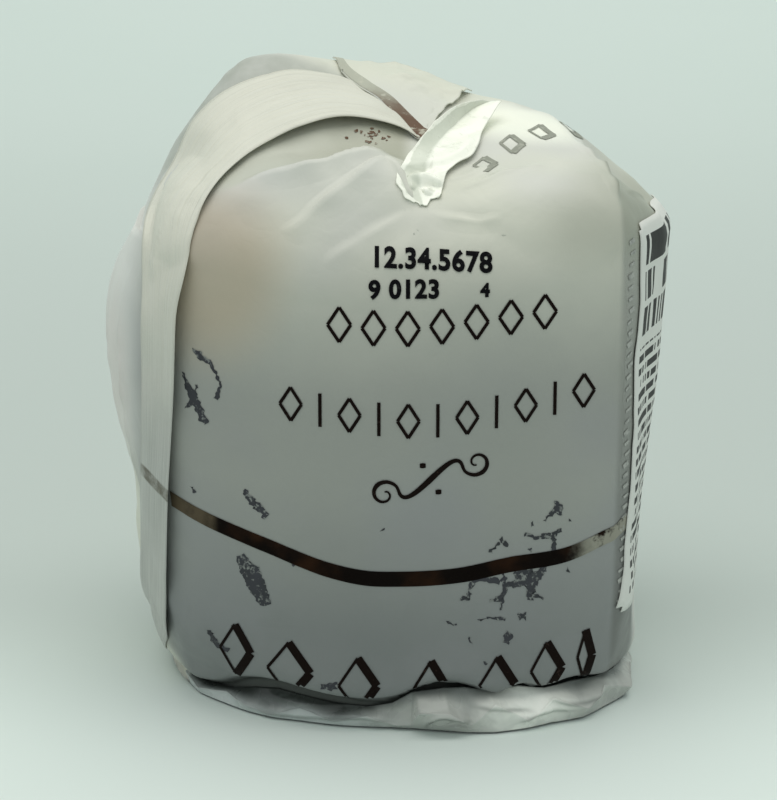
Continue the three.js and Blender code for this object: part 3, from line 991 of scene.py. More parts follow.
def seal_places(free, root, lift_low, lift_high):
    """A seal's fin between its free edge and its root, bowed a little and held clear of the wrap. Its root
    runs into the wrap, as the fin grows out of it there."""
    free, root = route_through(free), route_through(root)

    def place_at(along, across):
        places = between(free, root, along, across)
        settled = smooth_step(along, 0.04, 0.22)
        at_edge, at_root = 1 - across, across * settled
        places[:, 1] += 0.3 * roughly(places, 8, 18) * at_edge + 1.1 * roughly(places, 15, 28) * at_root
        wander = np.clip(0.2 * roughly(places, 9, 8) + 0.15 * creased(places, 11, 6), 0, None)
        lift = lift_low + (lift_high - lift_low) * smooth_step(along, 0.5, 0.75) + wander
        sunk = 0.65 * smooth_step(across, 0.65, 1)
        return kept_clear(wrap_tree, places, lift * at_edge ** 0.7 + 0.25 - sunk)

    return place_at


def build_left_seal():
    """The end seal that runs up the left front edge and over the top."""
    mesh = grid_mesh("left_seal", 240, 20, seal_places(SEAL_FREE, SEAL_ROOT, 0.0, 0.5))
    return film_piece("left_end_seal", mesh, SEAL)


def build_right_seal():
    """The other end seal is folded onto the back, so it is the left one turned half round and let down."""
    free = route_through([(-x, -y * 1.02, z - 1) for x, y, z in SEAL_FREE[:11]])
    root = route_through([(-x * 1.02, -y, z - 1) for x, y, z in SEAL_ROOT[:9]])

    def place_at(along, across):
        places = between(free, root, along, across)
        return laid_on(wrap_tree, places, 0.35 + 0.5 * (1 - across) - 0.5 * smooth_step(across, 0.85, 1))

    mesh = grid_mesh("right_seal", 200, 16, place_at)
    return film_piece("right_end_seal", mesh, SEAL)


def build_gusset(name, corners, lift):
    """A triangle of film folded flat on a side: corners are its two far ends and its tip."""
    first, second, tip = (np.array(corner, float) for corner in corners)

    def place_at(along, across):
        edge = first + (second - first) * across[:, None]
        places = edge + (tip - edge) * (along * 0.96)[:, None]
        inside = smooth_step(along, 0, 0.12) * smooth_step(across, 0, 0.3)
        soft = 0.3 * roughly(places, 9, 15) * inside
        return laid_on(wrap_tree, places, (lift + 0.1) * inside - 0.1 + soft)

    return film_piece(name, grid_mesh(name, 60, 60, place_at), FILM)


def build_gussets():
    """The flat folds on the left side and the back."""
    return [
        build_gusset("left_top_gusset", [(-42, 4, 68), (-37, 29, 70), (-45, 15, 40)], 0.5),
        build_gusset("left_foot_gusset", [(-38, 3, 8), (-34, 29, 8), (-45, 15, 36)], 0.5),
        build_gusset("back_gusset", [(30, 34, 74), (-14, 38, 74), (10, 40, 42)], 0.6),
    ]


# The back flap's left edge, middle and right edge, from the back to its tip on the front.
FLAP_LEFT = [(-9.5, 14, 98), (-8.4, 8, 95.9), (-5.5, 4, 94.5), (-2.6, 0, 92.7), (-0.2, -4, 91.3),
             (2.6, -8, 90), (4.7, -11, 89.3)]
FLAP_MIDDLE = [(1.1, 16, 98), (2, 9, 96.6), (2.6, 4, 95), (3.2, 0, 93.4), (4.2, -4, 91.8), (4.8, -8, 90.3),
               (5.3, -11, 89.2)]
FLAP_RIGHT = [(14, 13, 93.4), (12.8, 8, 94), (11.6, 4, 93.6), (9.6, 0, 92.8), (8, -4, 91.6), (6.6, -8, 90.2),
              (5.9, -11, 89.1)]


def flap_place(along, across):
    """Places on the back flap: crumpled, with a fold across it, and sunk into the film at its right edge."""
    places = loft((FLAP_LEFT, FLAP_MIDDLE, FLAP_RIGHT), along, across)
    crumple = (0.55 * creased(places, 8, 12) + 0.3 * creased(places, 4, 13)) * smooth_step(across, 0, 0.2)
    places[:, 2] += crumple + 0.5 * np.exp(-((along - 0.3) / 0.03) ** 2) * smooth_step(across, 0, 0.3)
    sunk = smooth_step(across, 0.82, 1)
    return kept_clear(wrap_tree, places, 0.45 * (1 - sunk) - 0.3 * sunk)


def build_back_flap():
    """The back's slack, folded forward over the top as a triangle with a stripe printed on its left edge."""
    mesh = grid_mesh("back_flap", 80, 50, flap_place)
    flap_tree = surface_tree(mesh)
    edge = route_through(FLAP_LEFT)
    let_down = 3.0

    def stripe_place(along, across):
        inwards = across * (1.8 + 1.3 * along)
        places = edge(along) + np.column_stack([inwards * 0.9, inwards * 0.35, np.full(len(along), let_down)])
        for i, place in enumerate(places):
            found, normal, _, _ = flap_tree.ray_cast(Vector(place), Vector((0, 0, -1)))
            if found is None:
                found, normal, _, _ = flap_tree.find_nearest(Vector(place) - Vector((0, 0, let_down)))
            places[i] = found + normal * math.copysign(0.16, normal.z)
        return places

    print_piece("edge_stripe", grid_mesh("stripe", 90, 4, stripe_place), STRIPE)
    return film_piece("back_flap", mesh, FILM)


# The top ear's left rim, the fold along its middle and its right side, from its knot to the back.
EAR_RIM = [(4.8, -28.2, 81.8), (1.6, -27, 83.5), (1, -25.5, 85.6), (2.2, -23.5, 87.4), (2.9, -21.5, 88.5),
           (4.1, -19, 89.7), (5.6, -16, 91.1), (7.5, -12, 92.5), (10.6, -7, 93.8), (15, -2, 93.9)]
EAR_FOLD = [(5.2, -28, 81.9), (4.5, -27, 83.2), (4.8, -25, 85), (5.5, -23, 86.4), (6.1, -21, 87.6),
            (6.8, -18.5, 88.7), (8.1, -14.5, 89.9), (10.1, -9.5, 91.2), (13.1, -4, 92.5), (16.5, -1, 93.3)]
EAR_SIDE = [(6, -28, 82), (7.8, -27, 83.2), (8.4, -25, 84.9), (8.9, -23, 85.9), (10.4, -20.5, 87.1),
            (13, -17.5, 88.1), (14.1, -14.5, 89.1), (14.9, -10, 90.6), (16.7, -5, 92.1), (18.3, -1, 93.4)]


def build_ear():
    """The bright puckered fold on the top, right of the flap, pinched to a knot at its lower end."""
    def place_at(along, across):
        places = loft((EAR_RIM, EAR_FOLD, EAR_SIDE), along, across)
        knot = 1 - smooth_step(along, 0.1, 0.3)
        places[:, 2] += 0.45 * creased(places, 6, 9) + knot * creased(places, 2.6, 19)
        places[:, 1] -= 0.7 * knot * creased(places, 3.1, 29)
        sunk = smooth_step(across, 0.88, 1) * smooth_step(along, 0.5, 0.75)
        return kept_clear(wrap_tree, places, 0.35 * (1 - sunk) - 0.25 * sunk)

    return film_piece("top_ear", grid_mesh("ear", 130, 50, place_at), LIT)


# Crisp folds over the front, the top, the left bulge and the back: route, height, and how wide each side is.
PLEATS = [
    ([(-23.5, -26.5, 84.6), (-21.7, -26, 85.5), (-17.4, -25.5, 86.5), (-13.6, -25, 86.9), (-9.8, -24, 88.1),
      (-5.9, -23, 89), (-2.1, -22, 89.9), (0.5, -21, 90), (3.3, -21, 89.4)], 1.1, 3.4, 1.3),
    ([(1, -20.8, 90), (-0.5, -22, 89.4), (-4.1, -26, 86.9), (-8.1, -29, 84.4), (-12.6, -32, 82),
      (-17.1, -34.5, 80)], 0.9, 1.4, 4.5),
    ([(-1.5, -21.5, 89.6), (0.6, -22.6, 88.2), (1.8, -24.6, 86), (3.4, -27, 83.6), (5, -28.6, 81.6)], 0.7,
     1.3, 2.6),
    ([(30.1, -2, 88.7), (31.9, -8, 88.2), (33.2, -14, 86.9), (34.4, -22, 84.9), (35.2, -31, 81.6)], 0.75,
     2.5, 0.8),
    ([(35.5, -31.6, 82), (36.1, -33.1, 76), (36.1, -33.9, 60), (35.7, -33.7, 44), (35.4, -33.4, 35)], 0.5,
     1.6, 0.8),
    ([(5.4, -28.8, 81.5), (8.5, -30.5, 80.4), (13, -31.5, 80), (18, -31.5, 80.4)], 0.45, 2.4, 1.6),
    ([(4, -28.6, 81.6), (0, -31, 80), (-5, -34, 78), (-10, -36.5, 74)], 0.4, 2.0, 3.2),
    ([(8.6, -26.5, 83.2), (13, -26, 84.6), (19, -24.5, 86), (26, -21, 87)], 0.45, 1.8, 3.0),
    ([(7.6, -24, 85.5), (12, -23, 86.2), (16, -20, 87.8)], 0.4, 1.4, 2.2),
    ([(36.5, -22, 84), (40, -14, 82), (43, -4, 79)], 0.4, 1.6, 2.4),
    ([(-42.8, -17.5, 30), (-43.8, -17, 44), (-43.6, -17, 58)], 0.5, 1.4, 2.0),
    ([(-43.5, -12, 26), (-45.2, -11, 40), (-45.8, -10, 54), (-45.4, -10, 64)], 0.55, 3.0, 1.4),
    ([(-43.5, -3, 30), (-45.8, -3, 46), (-45.8, -3, 58), (-45.2, -3.5, 66)], 0.5, 1.6, 3.0),
    ([(34, 12, 87), (28, 18, 88), (18, 24, 88.5)], 0.5, 2.2, 2.2),
    ([(43, 14, 74), (44.6, 16, 56), (44, 18, 36), (41.5, 17, 14)], 0.5, 2.4, 2.4),
    ([(30, 33, 76), (32, 34, 56), (30, 34, 30), (27, 33, 10)], 0.6, 2.4, 2.4),
    ([(2, 39.5, 74), (-2, 40, 52), (2, 39.5, 28), (0, 38.5, 8)], 0.6, 2.6, 2.0),
    ([(-30, 33, 74), (-33, 34, 52), (-31, 32, 28), (-27, 30, 8)], 0.6, 2.2, 2.6),
]

# A pleat's strip reaches a little past the widths of its sides, and has a cell for each step along it.
PLEAT_REACH = 1.25
PLEAT_STEP = 0.6


def pleat_places(points, height, left, right):
    """A strip that grows out of the film at its sides and ends, raised to a sharp line along its middle."""
    route = route_through(points)

    def place_at(along, across):
        along, across = along + 0.5, across * 2
        middle = laid_on(wrap_tree, route(along), 0.0)
        outwards = laid_on(wrap_tree, route(along), 1.0) - middle
        aside = np.cross(outwards, heading(route, along, 0.02))
        aside /= np.linalg.norm(aside, axis=1)[:, None]
        reach = PLEAT_REACH * across * np.where(across < 0, left, right)
        middle += aside * (reach + 0.25 * roughly(route(along), 7, 71))[:, None]
        crest = height * (1 + 0.3 * roughly(route(along), 6, 72)) * fading(along, 0.3)
        return laid_on(wrap_tree, middle, crest * (1 - np.abs(across)) ** 2.2 - 0.02)

    return place_at


def build_pleats():
    """All the crisp folds of the film, as one mesh."""
    made = bmesh.new()
    for points, height, left, right in PLEATS:
        cells = int(steps_of(points).sum() / PLEAT_STEP)
        add_strip(made, cells, 14, pleat_places(points, height, left, right))
    return film_piece("pleats", mesh_from(made, "pleats"), FILM)


# The gathered foot on the front, flat between its folds: direction in degrees, the height and stand-out of
# its upper edge, tucked under the front, then of its fold, and the stand-out of its edge on the ground.
FOOT_FACETS = np.array([
    (-154, 1.6, 36.4, 1.0, 37.2, 37.0), (-149, 2.0, 36.8, 1.4, 38.6, 38.0),
    (-143, 1.6, 36.6, 0.9, 39.0, 38.5), (-134, 2.2, 36.4, 1.8, 37.8, 38.2),
    (-126, 3.6, 36.2, 1.2, 38.4, 38.2), (-119, 4.4, 36.2, 0.6, 38.4, 38.0),
    (-112, 4.0, 36.2, 2.2, 37.2, 37.3), (-103, 3.4, 36.2, 0.9, 37.8, 37.2),
    (-95, 3.2, 36.4, 2.2, 37.8, 37.1), (-89, 4.2, 37.0, 0.8, 38.0, 37.2),
    (-84.6, 6.0, 37.4, 0.8, 38.6, 37.8), (-83.4, 6.3, 37.8, 4.2, 41.8, 38.0),
    (-77, 6.8, 38.2, 4.0, 42.6, 39.6), (-72, 6.8, 38.8, 1.4, 42.2, 41.2), (-67, 6.0, 39.6, 4.8, 42.6, 42.6),
    (-60, 6.4, 40.8, 1.6, 44.2, 43.4), (-54, 5.4, 42.0, 4.4, 44.4, 43.8), (-47, 5.6, 42.8, 1.8, 46.6, 45.4),
    (-40, 4.8, 43.2, 3.8, 45.0, 45.2), (-32, 4.2, 43.0, 1.6, 46.2, 45.4), (-24, 4.0, 41.6, 3.0, 43.8, 43.6),
    (-18, 3.4, 40.8, 1.8, 42.8, 42.6), (-13, 2.8, 40.0, 1.4, 41.4, 41.2), (-10, 2.2, 39.4, 1.0, 40.2, 40.0),
])

# Sharp folds in the foot: where each runs across the front (its Y isn't read), how far it stands out, and
# its half width.
FOOT_FOLDS = [
    ([(6.2, 0, 0.4), (5.9, 0, 1.6), (6.8, 0, 3.0), (8.9, 0, 3.6), (10.8, 0, 3.0), (13.4, 0, 2.6)], 0.9, 1.0),
    ([(8.4, 0, 1.5), (10.5, 0, 2.0), (13.5, 0, 1.5)], -0.5, 0.8),
    ([(12, 0, 4.8), (18, 0, 4.3), (24, 0, 3.2)], 0.6, 1.5),
    ([(19, 0, 1.4), (24, 0, 2.8), (31, 0, 2.2)], 0.6, 1.3),
    ([(25, 0, 5), (30, 0, 3.4), (36, 0, 3.2)], 0.6, 1.2),
    ([(-26, 0, 1.6), (-14, 0, 1.3), (-4, 0, 2.1), (4, 0, 1.4)], 0.5, 1.2),
    ([(-20, 0, 3.4), (-13, 0, 3.0), (-6, 0, 3.2)], 0.4, 1.0),
]


def build_foot():
    """The film bunched up and folded under at the foot of the front, as flat facets with sharp folds."""
    turns = FOOT_FACETS[:, 0]

    def place_at(along, across):
        angle = np.radians(turns[0] + (turns[-1] - turns[0]) * along)
        top_z, top_out, fold_z, fold_out, low_out = (
            np.interp(np.degrees(angle), turns, FOOT_FACETS[:, k]) for k in range(1, 6))
        height = np.where(across < 0.5, top_z + (fold_z - top_z) * across * 2,
                          fold_z * (2 - across * 2) + 0.15)
        out = np.where(across < 0.5, top_out + (fold_out - top_out) * across * 2,
                       fold_out + (low_out - fold_out) * (across * 2 - 1))
        places = around(angle, out, height)
        relief = 0.35 * creased(places, 5, 77) * np.sin(math.pi * across)
        for points, lift, width in FOOT_FOLDS:
            apart, share = distance_to(route_through(points), places * (1, 0, 1))
            on_front = places[:, 1] < -10
            relief += lift * np.clip(1 - apart / width, 0, 1) ** 1.5 * fading(share, 0.25) * on_front
        places[:, :2] *= (1 + relief / out)[:, None]
        return places

    mesh = grid_mesh("foot", 460, 40, place_at)
    places = points_of(mesh) * (1, 0, 1)
    # Painted shade just under each fold, kept for the foot's material.
    shade = np.zeros(len(places))
    for points, lift, _ in FOOT_FOLDS:
        apart, share = distance_to(route_through(points), places + (0, 0, 0.5))
        shade = np.maximum(shade, np.abs(lift) * fading(share, 0.3) * np.exp(-(apart / 0.28) ** 2))
    keep_on(mesh, "fold_shade", shade)
    return film_piece("gathered_foot", mesh, FOOT)


# ---------------------------------------------------------------- print

# The band's height by direction in degrees, and its width.
BAND_HEIGHTS = through([(-180, 33), (-150, 37.2), (-137, 35.1), (-128, 33), (-117, 30.1), (-103, 26.8),
                        (-95, 25.8), (-88, 25.7), (-75, 26.1), (-64, 27.5), (-53, 28.6), (-43, 31.4),
                        (-20, 33.6), (40, 33), (90, 32), (140, 33), (180, 33)])
BAND_WIDTH = 2.5

# How far print stands from the film, so that the two surfaces stay apart.
PRINT_LIFT = 0.2


def build_band():
    """The bronze band printed from one end seal to the other, dipping across the front."""
    def place_at(along, across):
        angle = np.radians(-139 + 176 * along)
        height = BAND_HEIGHTS(np.degrees(angle)) + (across - 0.5) * BAND_WIDTH
        return laid_on(wrap_tree, around(angle, plan(angle, height) + 1, height), 0.18)

    print_piece("bronze_band", grid_mesh("band", 300, 5, place_at), BRONZE)


def on_front(x, z, lift):
    """Places on the front of the wrap, straight behind points of an upright plane."""
    return dropped(np.column_stack([x, np.full(len(x), -70.0), z]), (0, 1, 0), lift)


def on_top(x, y, lift):
    """Places on the top of the wrap, straight below points of a level plane."""
    return dropped(np.column_stack([x, y, np.full(len(x), 130.0)]), (0, 0, -1), lift)


def stroke_places(points, widths, along, across, smooth):
    """Flat places on a stroke of the brush, for shares along it and across it from -0.5 to 0.5."""
    middle = route_through(points) if smooth else straight_route(points)
    ahead = heading(middle, along, 0.01)
    aside = np.column_stack([-ahead[:, 1], ahead[:, 0]])
    width = np.interp(along, np.linspace(0, 1, len(widths)), widths)
    return middle(along) + aside * (across * width)[:, None]


def strokes_mesh(name, strokes, lay, lift=PRINT_LIFT, smooth=False, ragged=0.0, step=0.5):
    """Strokes of ink as one mesh: each is (points, widths) in the flat, and lay puts them on the wrap."""
    made = bmesh.new()
    for number, (points, widths) in enumerate(strokes):
        def place_at(along, across):
            places = stroke_places(points, widths, along + 0.5, across, smooth)
            if ragged:
                solid = np.column_stack([places, np.full(len(places), 3.0 * number)])
                edge = ragged * np.abs(across) * 2
                places += edge[:, None] * np.column_stack([roughly(solid, 0.9, 61), roughly(solid, 0.9, 62)])
            return lay(places[:, 0], places[:, 1], lift)

        add_strip(made, max(2, int(steps_of(points).sum() / step)), 2, place_at)
    return mesh_from(made, name)


def under_foot(face, _):
    """Whether a face of print reaches below the foot's crease, where it is tucked out of sight."""
    return any(vertex.co.z < FOOT_CREASE(math.degrees(math.atan2(vertex.co.y, vertex.co.x))) + 0.2
               for vertex in face.verts)


def lozenge(x, z, half_width, half_height, thin, thick):
    """An upright lozenge drawn with two thin and two thick sides."""
    left, right = (x - half_width, z), (x + half_width, z)
    low, high = (x, z - half_height), (x, z + half_height)
    sides = ((low, left, thin), (left, high, thin), (high, right, thick), (right, low, thick))
    return [([start, end], [width, width]) for start, end, width in sides]


def dot(x, z, size):
    """A dot of ink, as one short stroke."""
    return [([(x - size / 2, z), (x + size / 2, z)], [size * 0.7, size, size * 0.7])]


def scroll(middle, size, inner, turned=False):
    """Points along a spiral from its middle out, one and a quarter turns; turned gives it upside down."""
    sign = -1 if turned else 1
    points = []
    for step in range(12):
        angle = math.radians(90 - 41 * step)
        radius = sign * (inner + (size - inner) * step / 11)
        points.append((middle[0] + radius * math.cos(angle), middle[1] + radius * math.sin(angle)))
    return points


# The ornaments of the two fine rows: half their height, and the width of their lines.
FINE_HALF_HEIGHT = 2.6
FINE_LINE = 0.5

# The heights of the rows of ornaments by place across the front.
UPPER_ROW = through([(-7.5, 65.8), (0, 65.2), (6, 65.4), (12, 66.2), (18, 66.9), (24, 67.6)])
LOWER_ROW = through([(-15, 53.4), (-6, 52), (2, 51.2), (10, 51.4), (20, 53), (30, 55)])
FOOT_ROW = through([(-24.5, 11.4), (-15.6, 9.6), (-4.8, 7.8), (6.6, 7.4), (17, 7.8), (24.6, 9.4), (31, 10.6)])


def build_ornaments():
    """Rows of lozenges and bars, a flourish, a bold row that runs under the foot's crease, and pale lozenges
    on the top."""
    fine = []
    for place in range(7):
        x = -7.4 + place * 5.15
        fine += lozenge(x, float(UPPER_ROW(x)), 1.75, FINE_HALF_HEIGHT, FINE_LINE, FINE_LINE)
    for place in range(11):
        x = -14.8 + place * 4.45
        z = float(LOWER_ROW(x))
        if place % 2:
            fine.append(([(x, z - FINE_HALF_HEIGHT), (x, z + FINE_HALF_HEIGHT)], [0.52, 0.52]))
        else:
            fine += lozenge(x, z, 1.65, FINE_HALF_HEIGHT, FINE_LINE, FINE_LINE)
    print_piece("fine_ornaments", strokes_mesh("fine", fine, on_front), BROWN_INK)

    route = scroll((-0.6, 39.6), 2.4, 0.4) + scroll((13.4, 44.4), 2.4, 0.4, turned=True)[::-1]
    flourish = [(route, [0.25, 0.45, 0.7, 0.45, 0.7, 0.95, 0.7, 0.45, 0.7, 0.45, 0.25])]
    flourish += dot(5.2, 44.2, 0.9) + dot(7.6, 39.9, 0.9)
    print_piece("flourish", strokes_mesh("flourish", flourish, on_front, smooth=True, step=0.25), BROWN_INK)

    bold = []
    widths = ((-24.2, 2.5), (-15.6, 3.4), (-4.8, 3.0), (6.6, 2.7), (17, 2.8), (24.8, 2.5), (31, 1.2))
    for x, half_width in widths:
        bold += lozenge(x, float(FOOT_ROW(x)), half_width, 4.6, 0.45, 1.35)
    mesh = strokes_mesh("bold", bold, on_front)
    cut_away(mesh, under_foot)
    print_piece("bold_ornaments", mesh, BROWN_INK)

    pale = []
    for place_and_size in ((14.9, -19.6, 1.7, 2.6), (19.4, -13, 1.8, 3.2), (24.4, -6.3, 2.0, 3.4),
                           (29.6, 1.6, 1.7, 3.0)):
        pale += lozenge(*place_and_size, 0.5, 1.2)
    print_piece("pale_ornaments", strokes_mesh("pale", pale, on_top), PALE_INK)


# The middle of the brown flecks on the top.
SPECKS_X, SPECKS_Y = -2.6, -10.4


def build_specks():
    """Brown flecks of worn print below the seal's edge on the top."""
    chance = np.random.default_rng(23)
    flecks = []
    for _ in range(22):
        x, y = SPECKS_X + 1.1 * chance.normal(), SPECKS_Y + 0.9 * chance.normal()
        turn = chance.uniform(-0.5, 0.9)
        reach = chance.uniform(0.2, 0.8)
        flecks.append(([(x, y), (x + reach * math.cos(turn), y + reach * math.sin(turn))], [0.3, 0.5, 0.15]))
    mesh = strokes_mesh("specks", flecks, on_top, lift=0.16, ragged=0.15, step=0.15)
    print_piece("brown_specks", mesh, STRIPE)


# The column of marks beside the label: its lowest place across the front and height, and its pitch.
STRIP_X = 36.6
STRIP_FOOT = 19
STRIP_PITCH = 1.75


def build_strip_marks():
    """A faint column of short bars printed beside the label."""
    chance = np.random.default_rng(11)
    bars = []
    for place in range(34):
        z = STRIP_FOOT + place * STRIP_PITCH
        x = STRIP_X + (z - STRIP_FOOT) * 0.008 + 0.2 * chance.uniform(-1, 1)
        bars.append(([(x - 0.45, z), (x + 0.45, z + 0.3)], [0.4 + 0.5 * chance.uniform()] * 2))
    print_piece("strip_marks", strokes_mesh("strip", bars, on_front, lift=0.18, step=0.3), FAINT_INK)


# Where butter has wet the film: routes over the front with their widths.
GREASE_STROKES = [
    ([(25.7, 37.6), (26, 36.5), (26.6, 35.2)], [0.5, 1.4, 0.5]),
    ([(26.3, 36), (24.8, 35.3), (24, 34.4)], [0.6, 0.4, 0.3]),
    ([(20.9, 32.3), (23, 31.7), (25.1, 32), (26.7, 32.9)], [0.8, 0.5, 0.8, 0.6]),
    ([(25.2, 32), (25.6, 29.9), (24.8, 28.2), (23.6, 25.9), (22.5, 24.2)], [0.6, 0.9, 0.7, 1.1, 1.5]),
    ([(20.4, 26.8), (21.2, 25.4), (22.6, 24.2)], [2.2, 3.4, 1.4]),
    ([(22.1, 24.4), (22.1, 21.4)], [1.8, 1.2]), ([(22.1, 22.2), (24.2, 21.6)], [1, 0.3]),
    ([(20.9, 24.4), (17.6, 24.1)], [1.1, 0.6]),
    ([(17.7, 26.1), (18.1, 23.9), (17.5, 20.1)], [0.5, 0.7, 0.4]),
    ([(17.2, 24.6), (15.1, 25.3), (13.1, 25.1), (12.5, 23.6), (12.3, 21.9)], [0.5, 0.9, 0.9, 0.5, 0.7]),
    ([(12.4, 22.3), (11.1, 22.1)], [0.6, 0.3]), ([(15.6, 21.6), (17.8, 22.1)], [0.3, 1]),
    ([(20.2, 18.8), (21.4, 18.8)], [0.9, 1.1]), ([(18.9, 16.2), (18.3, 14.6)], [1.1, 1.3, 0.8]),
    ([(13.8, 18.7), (15.7, 18.9), (18.2, 18.6)], [0.2, 0.3, 0.7]),
    ([(17.2, 31.7), (18.5, 30.6)], [0.7, 0.3]), ([(17, 31.2), (15.7, 29.6)], [0.3, 0.5]),
    ([(21.6, 29.9), (22.2, 29.8)], [0.4, 0.5]), ([(22.1, 34.3), (22.2, 33.7)], [0.4, 0.4]),
    ([(27.8, 34.5), (27.9, 34.1)], [0.3, 0.3]), ([(27.8, 26.6), (28, 25.6)], [0.3, 0.5]),
    ([(15, 11.8), (15.4, 11.3)], [0.4, 0.5]), ([(9.2, 18.2), (10.6, 17.9)], [0.3, 0.2]),
    ([(12.6, 15.8), (12.8, 14.9)], [0.2, 0.3]),
    ([(-30, 60.7), (-28.8, 59.7), (-27.4, 58.9), (-26.2, 57.2), (-25.6, 55.4), (-26.3, 53.2)],
     [0.5, 1.1, 0.5, 0.35, 0.4, 0.6]),
    ([(-31.6, 56.8), (-30.4, 53.9), (-28, 49.1)], [0.4, 1.5, 1.1]),
    ([(-29.4, 55), (-30.2, 52.4), (-31.3, 51.3)], [0.3, 0.6, 0.4]),
    ([(-22.3, 39), (-20.6, 37), (-18.7, 35)], [0.7, 1.2, 1.1]),
    ([(-30.6, 38.5), (-30.1, 37.6)], [0.5, 0.4]),
    ([(-23, 28.1), (-21.5, 25.4), (-20.3, 22.6), (-19, 20)], [1.4, 3.2, 3, 1.2]),
    ([(-28.6, 13.9), (-27.4, 11.6), (-25.2, 11)], [0.8, 1.1, 0.7]),
    ([(-10.5, 7.6), (-8, 7.7)], [0.9, 1.1]), ([(-14.9, 27.4), (-14.7, 27)], [0.3, 0.3]),
    ([(-1.2, 33.6), (-0.6, 33.8)], [0.2, 0.2]),
]


def build_grease():
    """The marks of butter that show through the film, with ragged edges."""
    mesh = strokes_mesh("grease", GREASE_STROKES, on_front, lift=0.15, ragged=0.2, step=0.22)
    print_piece("grease_marks", mesh, grease_material())


# The stamped numbers: what each says, its place across the front, its height, its size and its slope.
NUMBERS = [
    ("12.34.5678", -2.7, 74.2, 3.8, -0.03),
    ("9 0123", -3.0, 69.7, 3.6, 0.02),
    ("4", 13.8, 70.2, 2.6, 0.02),
]


def build_numbers():
    """Plain numbers stamped in black near the top of the front."""
    made = bmesh.new()
    for body, x, z, size, slope in NUMBERS:
        curve = bpy.data.curves.new("numbers", "FONT")
        curve.body = body
        curve.size = size
        curve.offset = 0.14
        curve.space_character = 1.08
        writing = bpy.data.objects.new("numbers", curve)
        bpy.context.scene.collection.objects.link(writing)
        bpy.context.view_layer.update()
        flat = bpy.data.meshes.new_from_object(writing)
        bpy.data.objects.remove(writing)
        places = points_of(flat)
        put_points(flat, on_front(x + places[:, 0], z + places[:, 1] + slope * places[:, 0], 0.22))
        made.from_mesh(flat)
        bpy.data.meshes.remove(flat)
    print_piece("stamped_numbers", mesh_from(made, "numbers"), BLACK_INK)


# ---------------------------------------------------------------- the label

LABEL_SIZE = (34, 62)
LABEL_CORNER = 2.5
LABEL_MIDDLE = (-12.6, 47)
LABEL_LEAN = math.radians(3.5)
LABEL_LIFT = 0.3


def past_corner(face, chart):
    """Whether a face of the label lies outside its round corners."""
    shares = np.mean([loop[chart].uv[:] for loop in face.loops], axis=0)
    past = np.abs(shares - 0.5) * LABEL_SIZE - (np.array(LABEL_SIZE) / 2 - LABEL_CORNER)
    return past.min() > 0 and math.hypot(*past) > LABEL_CORNER


def build_label():
    """The paper label, stuck on a little crooked: its top leans back."""
    def place_at(along, across):
        right, up = (along - 0.5) * LABEL_SIZE[0], (across - 0.5) * LABEL_SIZE[1]
        y = LABEL_MIDDLE[0] + right * math.cos(LABEL_LEAN) + up * math.sin(LABEL_LEAN)
        z = LABEL_MIDDLE[1] - right * math.sin(LABEL_LEAN) + up * math.cos(LABEL_LEAN)
        return dropped(np.column_stack([np.full(len(y), 52.0), y, z]), (-1, 0, 0), LABEL_LIFT)

    mesh = grid_mesh("label", *LABEL_SIZE, place_at)
    cut_away(mesh, past_corner)
    in_metres(mesh)
    label = as_piece("side_label", mesh, label_material())
    add_thickness(label, LABEL_THICKNESS, 1)
    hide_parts("ingredients_label")
    return label


# ---------------------------------------------------------------- the loaf

def build_loaf():
    """The baked loaf, from the node's own form with an uneven crust."""
    low, high = (np.array(corner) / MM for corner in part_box("loaf"))
    mesh, angle, ring = sphere_mesh("loaf", 160, 110)
    radius = high[0]
    body = through([(0, 0), (0.14, radius - 4.6), (0.17, radius - 3.9), (0.5, radius - 3.4),
                    (0.55, radius - 1.2), (0.61, radius - 0.2), (0.72, radius - 4), (0.86, radius - 17),
                    (1, 0)])
    levels = through([(0, low[2]), (0.14, low[2]), (0.17, low[2] + 1.2), (0.5, 50.4), (0.55, 52.8),
                      (0.61, 58), (0.72, 68), (0.86, 78), (1, high[2])])
    height = levels(ring)
    places = around(angle, np.clip(body(ring), 0, radius), height)
    risen = smooth_step(height, 54, 66)
    relief = risen * (0.9 * roughly(places, 14, 21) + 0.5 * creased(places, 16, 22))
    from_cross_cut = np.abs(np.sin(2 * angle))
    relief -= risen * 1.3 * (1 - np.clip(from_cross_cut * 3, 0, 1)) * smooth_step(height, 66, 78)
    put_points(mesh, places)
    put_points(mesh, places + normals_of(mesh) * relief[:, None])
    in_metres(mesh)
    loaf = as_piece("baked_loaf", mesh, crust_material())
    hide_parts("loaf")


def finish_cup():
    """The cup keeps its own nodes, in brown baking paper."""
    paper = baking_paper_material()
    for name in ("baking_cup_wall", "baking_cup_base"):
        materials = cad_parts[name].data.materials
        materials.clear()
        materials.append(paper)


# ---------------------------------------------------------------- the stage

# The floor lies just below the wrap's foot.
FLOOR = -0.0002


def backdrop_material():
    """Pale grey-green, with painted shade on the floor just behind the object, so it is darker there than
    near it or far away.
    """
    nodes = Nodes("pale_backdrop", Roughness=0.9, Specular_IOR_Level=0.1)
    y = nodes.xyz()[1]
    tone = nodes.mix(nodes.noise(5, 2), (0.70, 0.785, 0.74, 1), (0.73, 0.80, 0.765, 1))
    light = nodes.math("MAXIMUM", nodes.ramp(y, 0.10, 0.80), nodes.ramp(y, 0.03, -0.05))
    shade = nodes.mix(1.0, tone, (0.70, 0.70, 0.70, 1), "MULTIPLY")
    nodes.colour(nodes.mix(light, shade, tone))
    return nodes.material


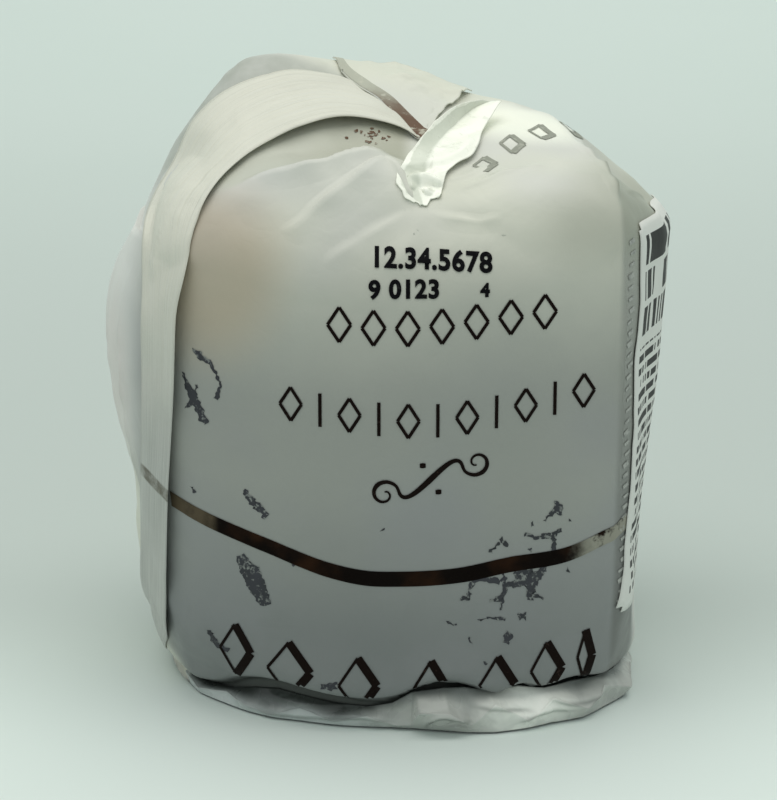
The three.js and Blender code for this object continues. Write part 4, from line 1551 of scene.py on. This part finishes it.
def build_stage():
    """A pale sweep: floor, curve and wall in one sheet."""
    outline = route_through([(0, -0.8, FLOOR), (0, 0.2, FLOOR), (0, 0.5, FLOOR), (0, 0.8, 0.06),
                             (0, 0.95, 0.3), (0, 1.0, 0.9)])

    def place_at(along, across):
        places = outline(across)
        places[:, 0] = (along - 0.5) * 3
        places[:, 2] = np.maximum(places[:, 2], FLOOR)
        return places

    mesh = grid_mesh("sweep", 8, 60, place_at)
    mesh.materials.append(backdrop_material())
    mesh.shade_smooth()
    sweep = bpy.data.objects.new("sweep", mesh)
    bpy.context.scene.collection.objects.link(sweep)


CAMERA_DISTANCE = 0.400
CAMERA_ELEVATION = math.radians(16)
CAMERA_AIM = 0.0432
CAMERA_LENS = 107.1


def place_facing(name, content, place, target):
    """Puts a camera or a light in the scene, looking from a place at a target."""
    holder = bpy.data.objects.new(name, content)
    holder.location = place
    holder.rotation_euler = (Vector(target) - Vector(place)).to_track_quat("-Z", "Y").to_euler()
    bpy.context.scene.collection.objects.link(holder)
    return holder


def build_camera():
    camera = bpy.data.cameras.new("camera")
    camera.lens = CAMERA_LENS
    camera.sensor_width = 36
    camera.clip_start = 0.01
    aim = Vector((0, 0, CAMERA_AIM))
    away = Vector((0, -math.cos(CAMERA_ELEVATION), math.sin(CAMERA_ELEVATION)))
    bpy.context.scene.camera = place_facing("camera", camera, aim + CAMERA_DISTANCE * away, aim)


def build_light():
    """One large soft lamp overhead, and a pale cool sky all round."""
    light = bpy.data.lights.new("overhead", "AREA")
    light.shape = "RECTANGLE"
    light.size, light.size_y = 1.3, 1.0
    light.energy = 6.6
    light.color = (1.0, 0.985, 0.93)
    place_facing("overhead", light, (-0.03, 0.06, 0.95), (0, 0, 0.05))
    world = bpy.data.worlds.new("world")
    world.use_nodes = True
    sky = world.node_tree.nodes["Background"].inputs
    sky["Color"].default_value = (0.80, 0.86, 0.86, 1)
    sky["Strength"].default_value = 0.66
    bpy.context.scene.world = world
    bpy.context.scene.view_settings.view_transform = "Standard"


body = build_body()
left_seal = build_left_seal()
right_seal = build_right_seal()
gussets = build_gussets()
flap = build_back_flap()
ear = build_ear()
foot = build_foot()
pleats = build_pleats()
build_band()
build_ornaments()
build_strip_marks()
build_specks()
build_grease()
build_numbers()
label = build_label()
build_loaf()
finish_cup()
build_stage()
build_camera()
build_light()
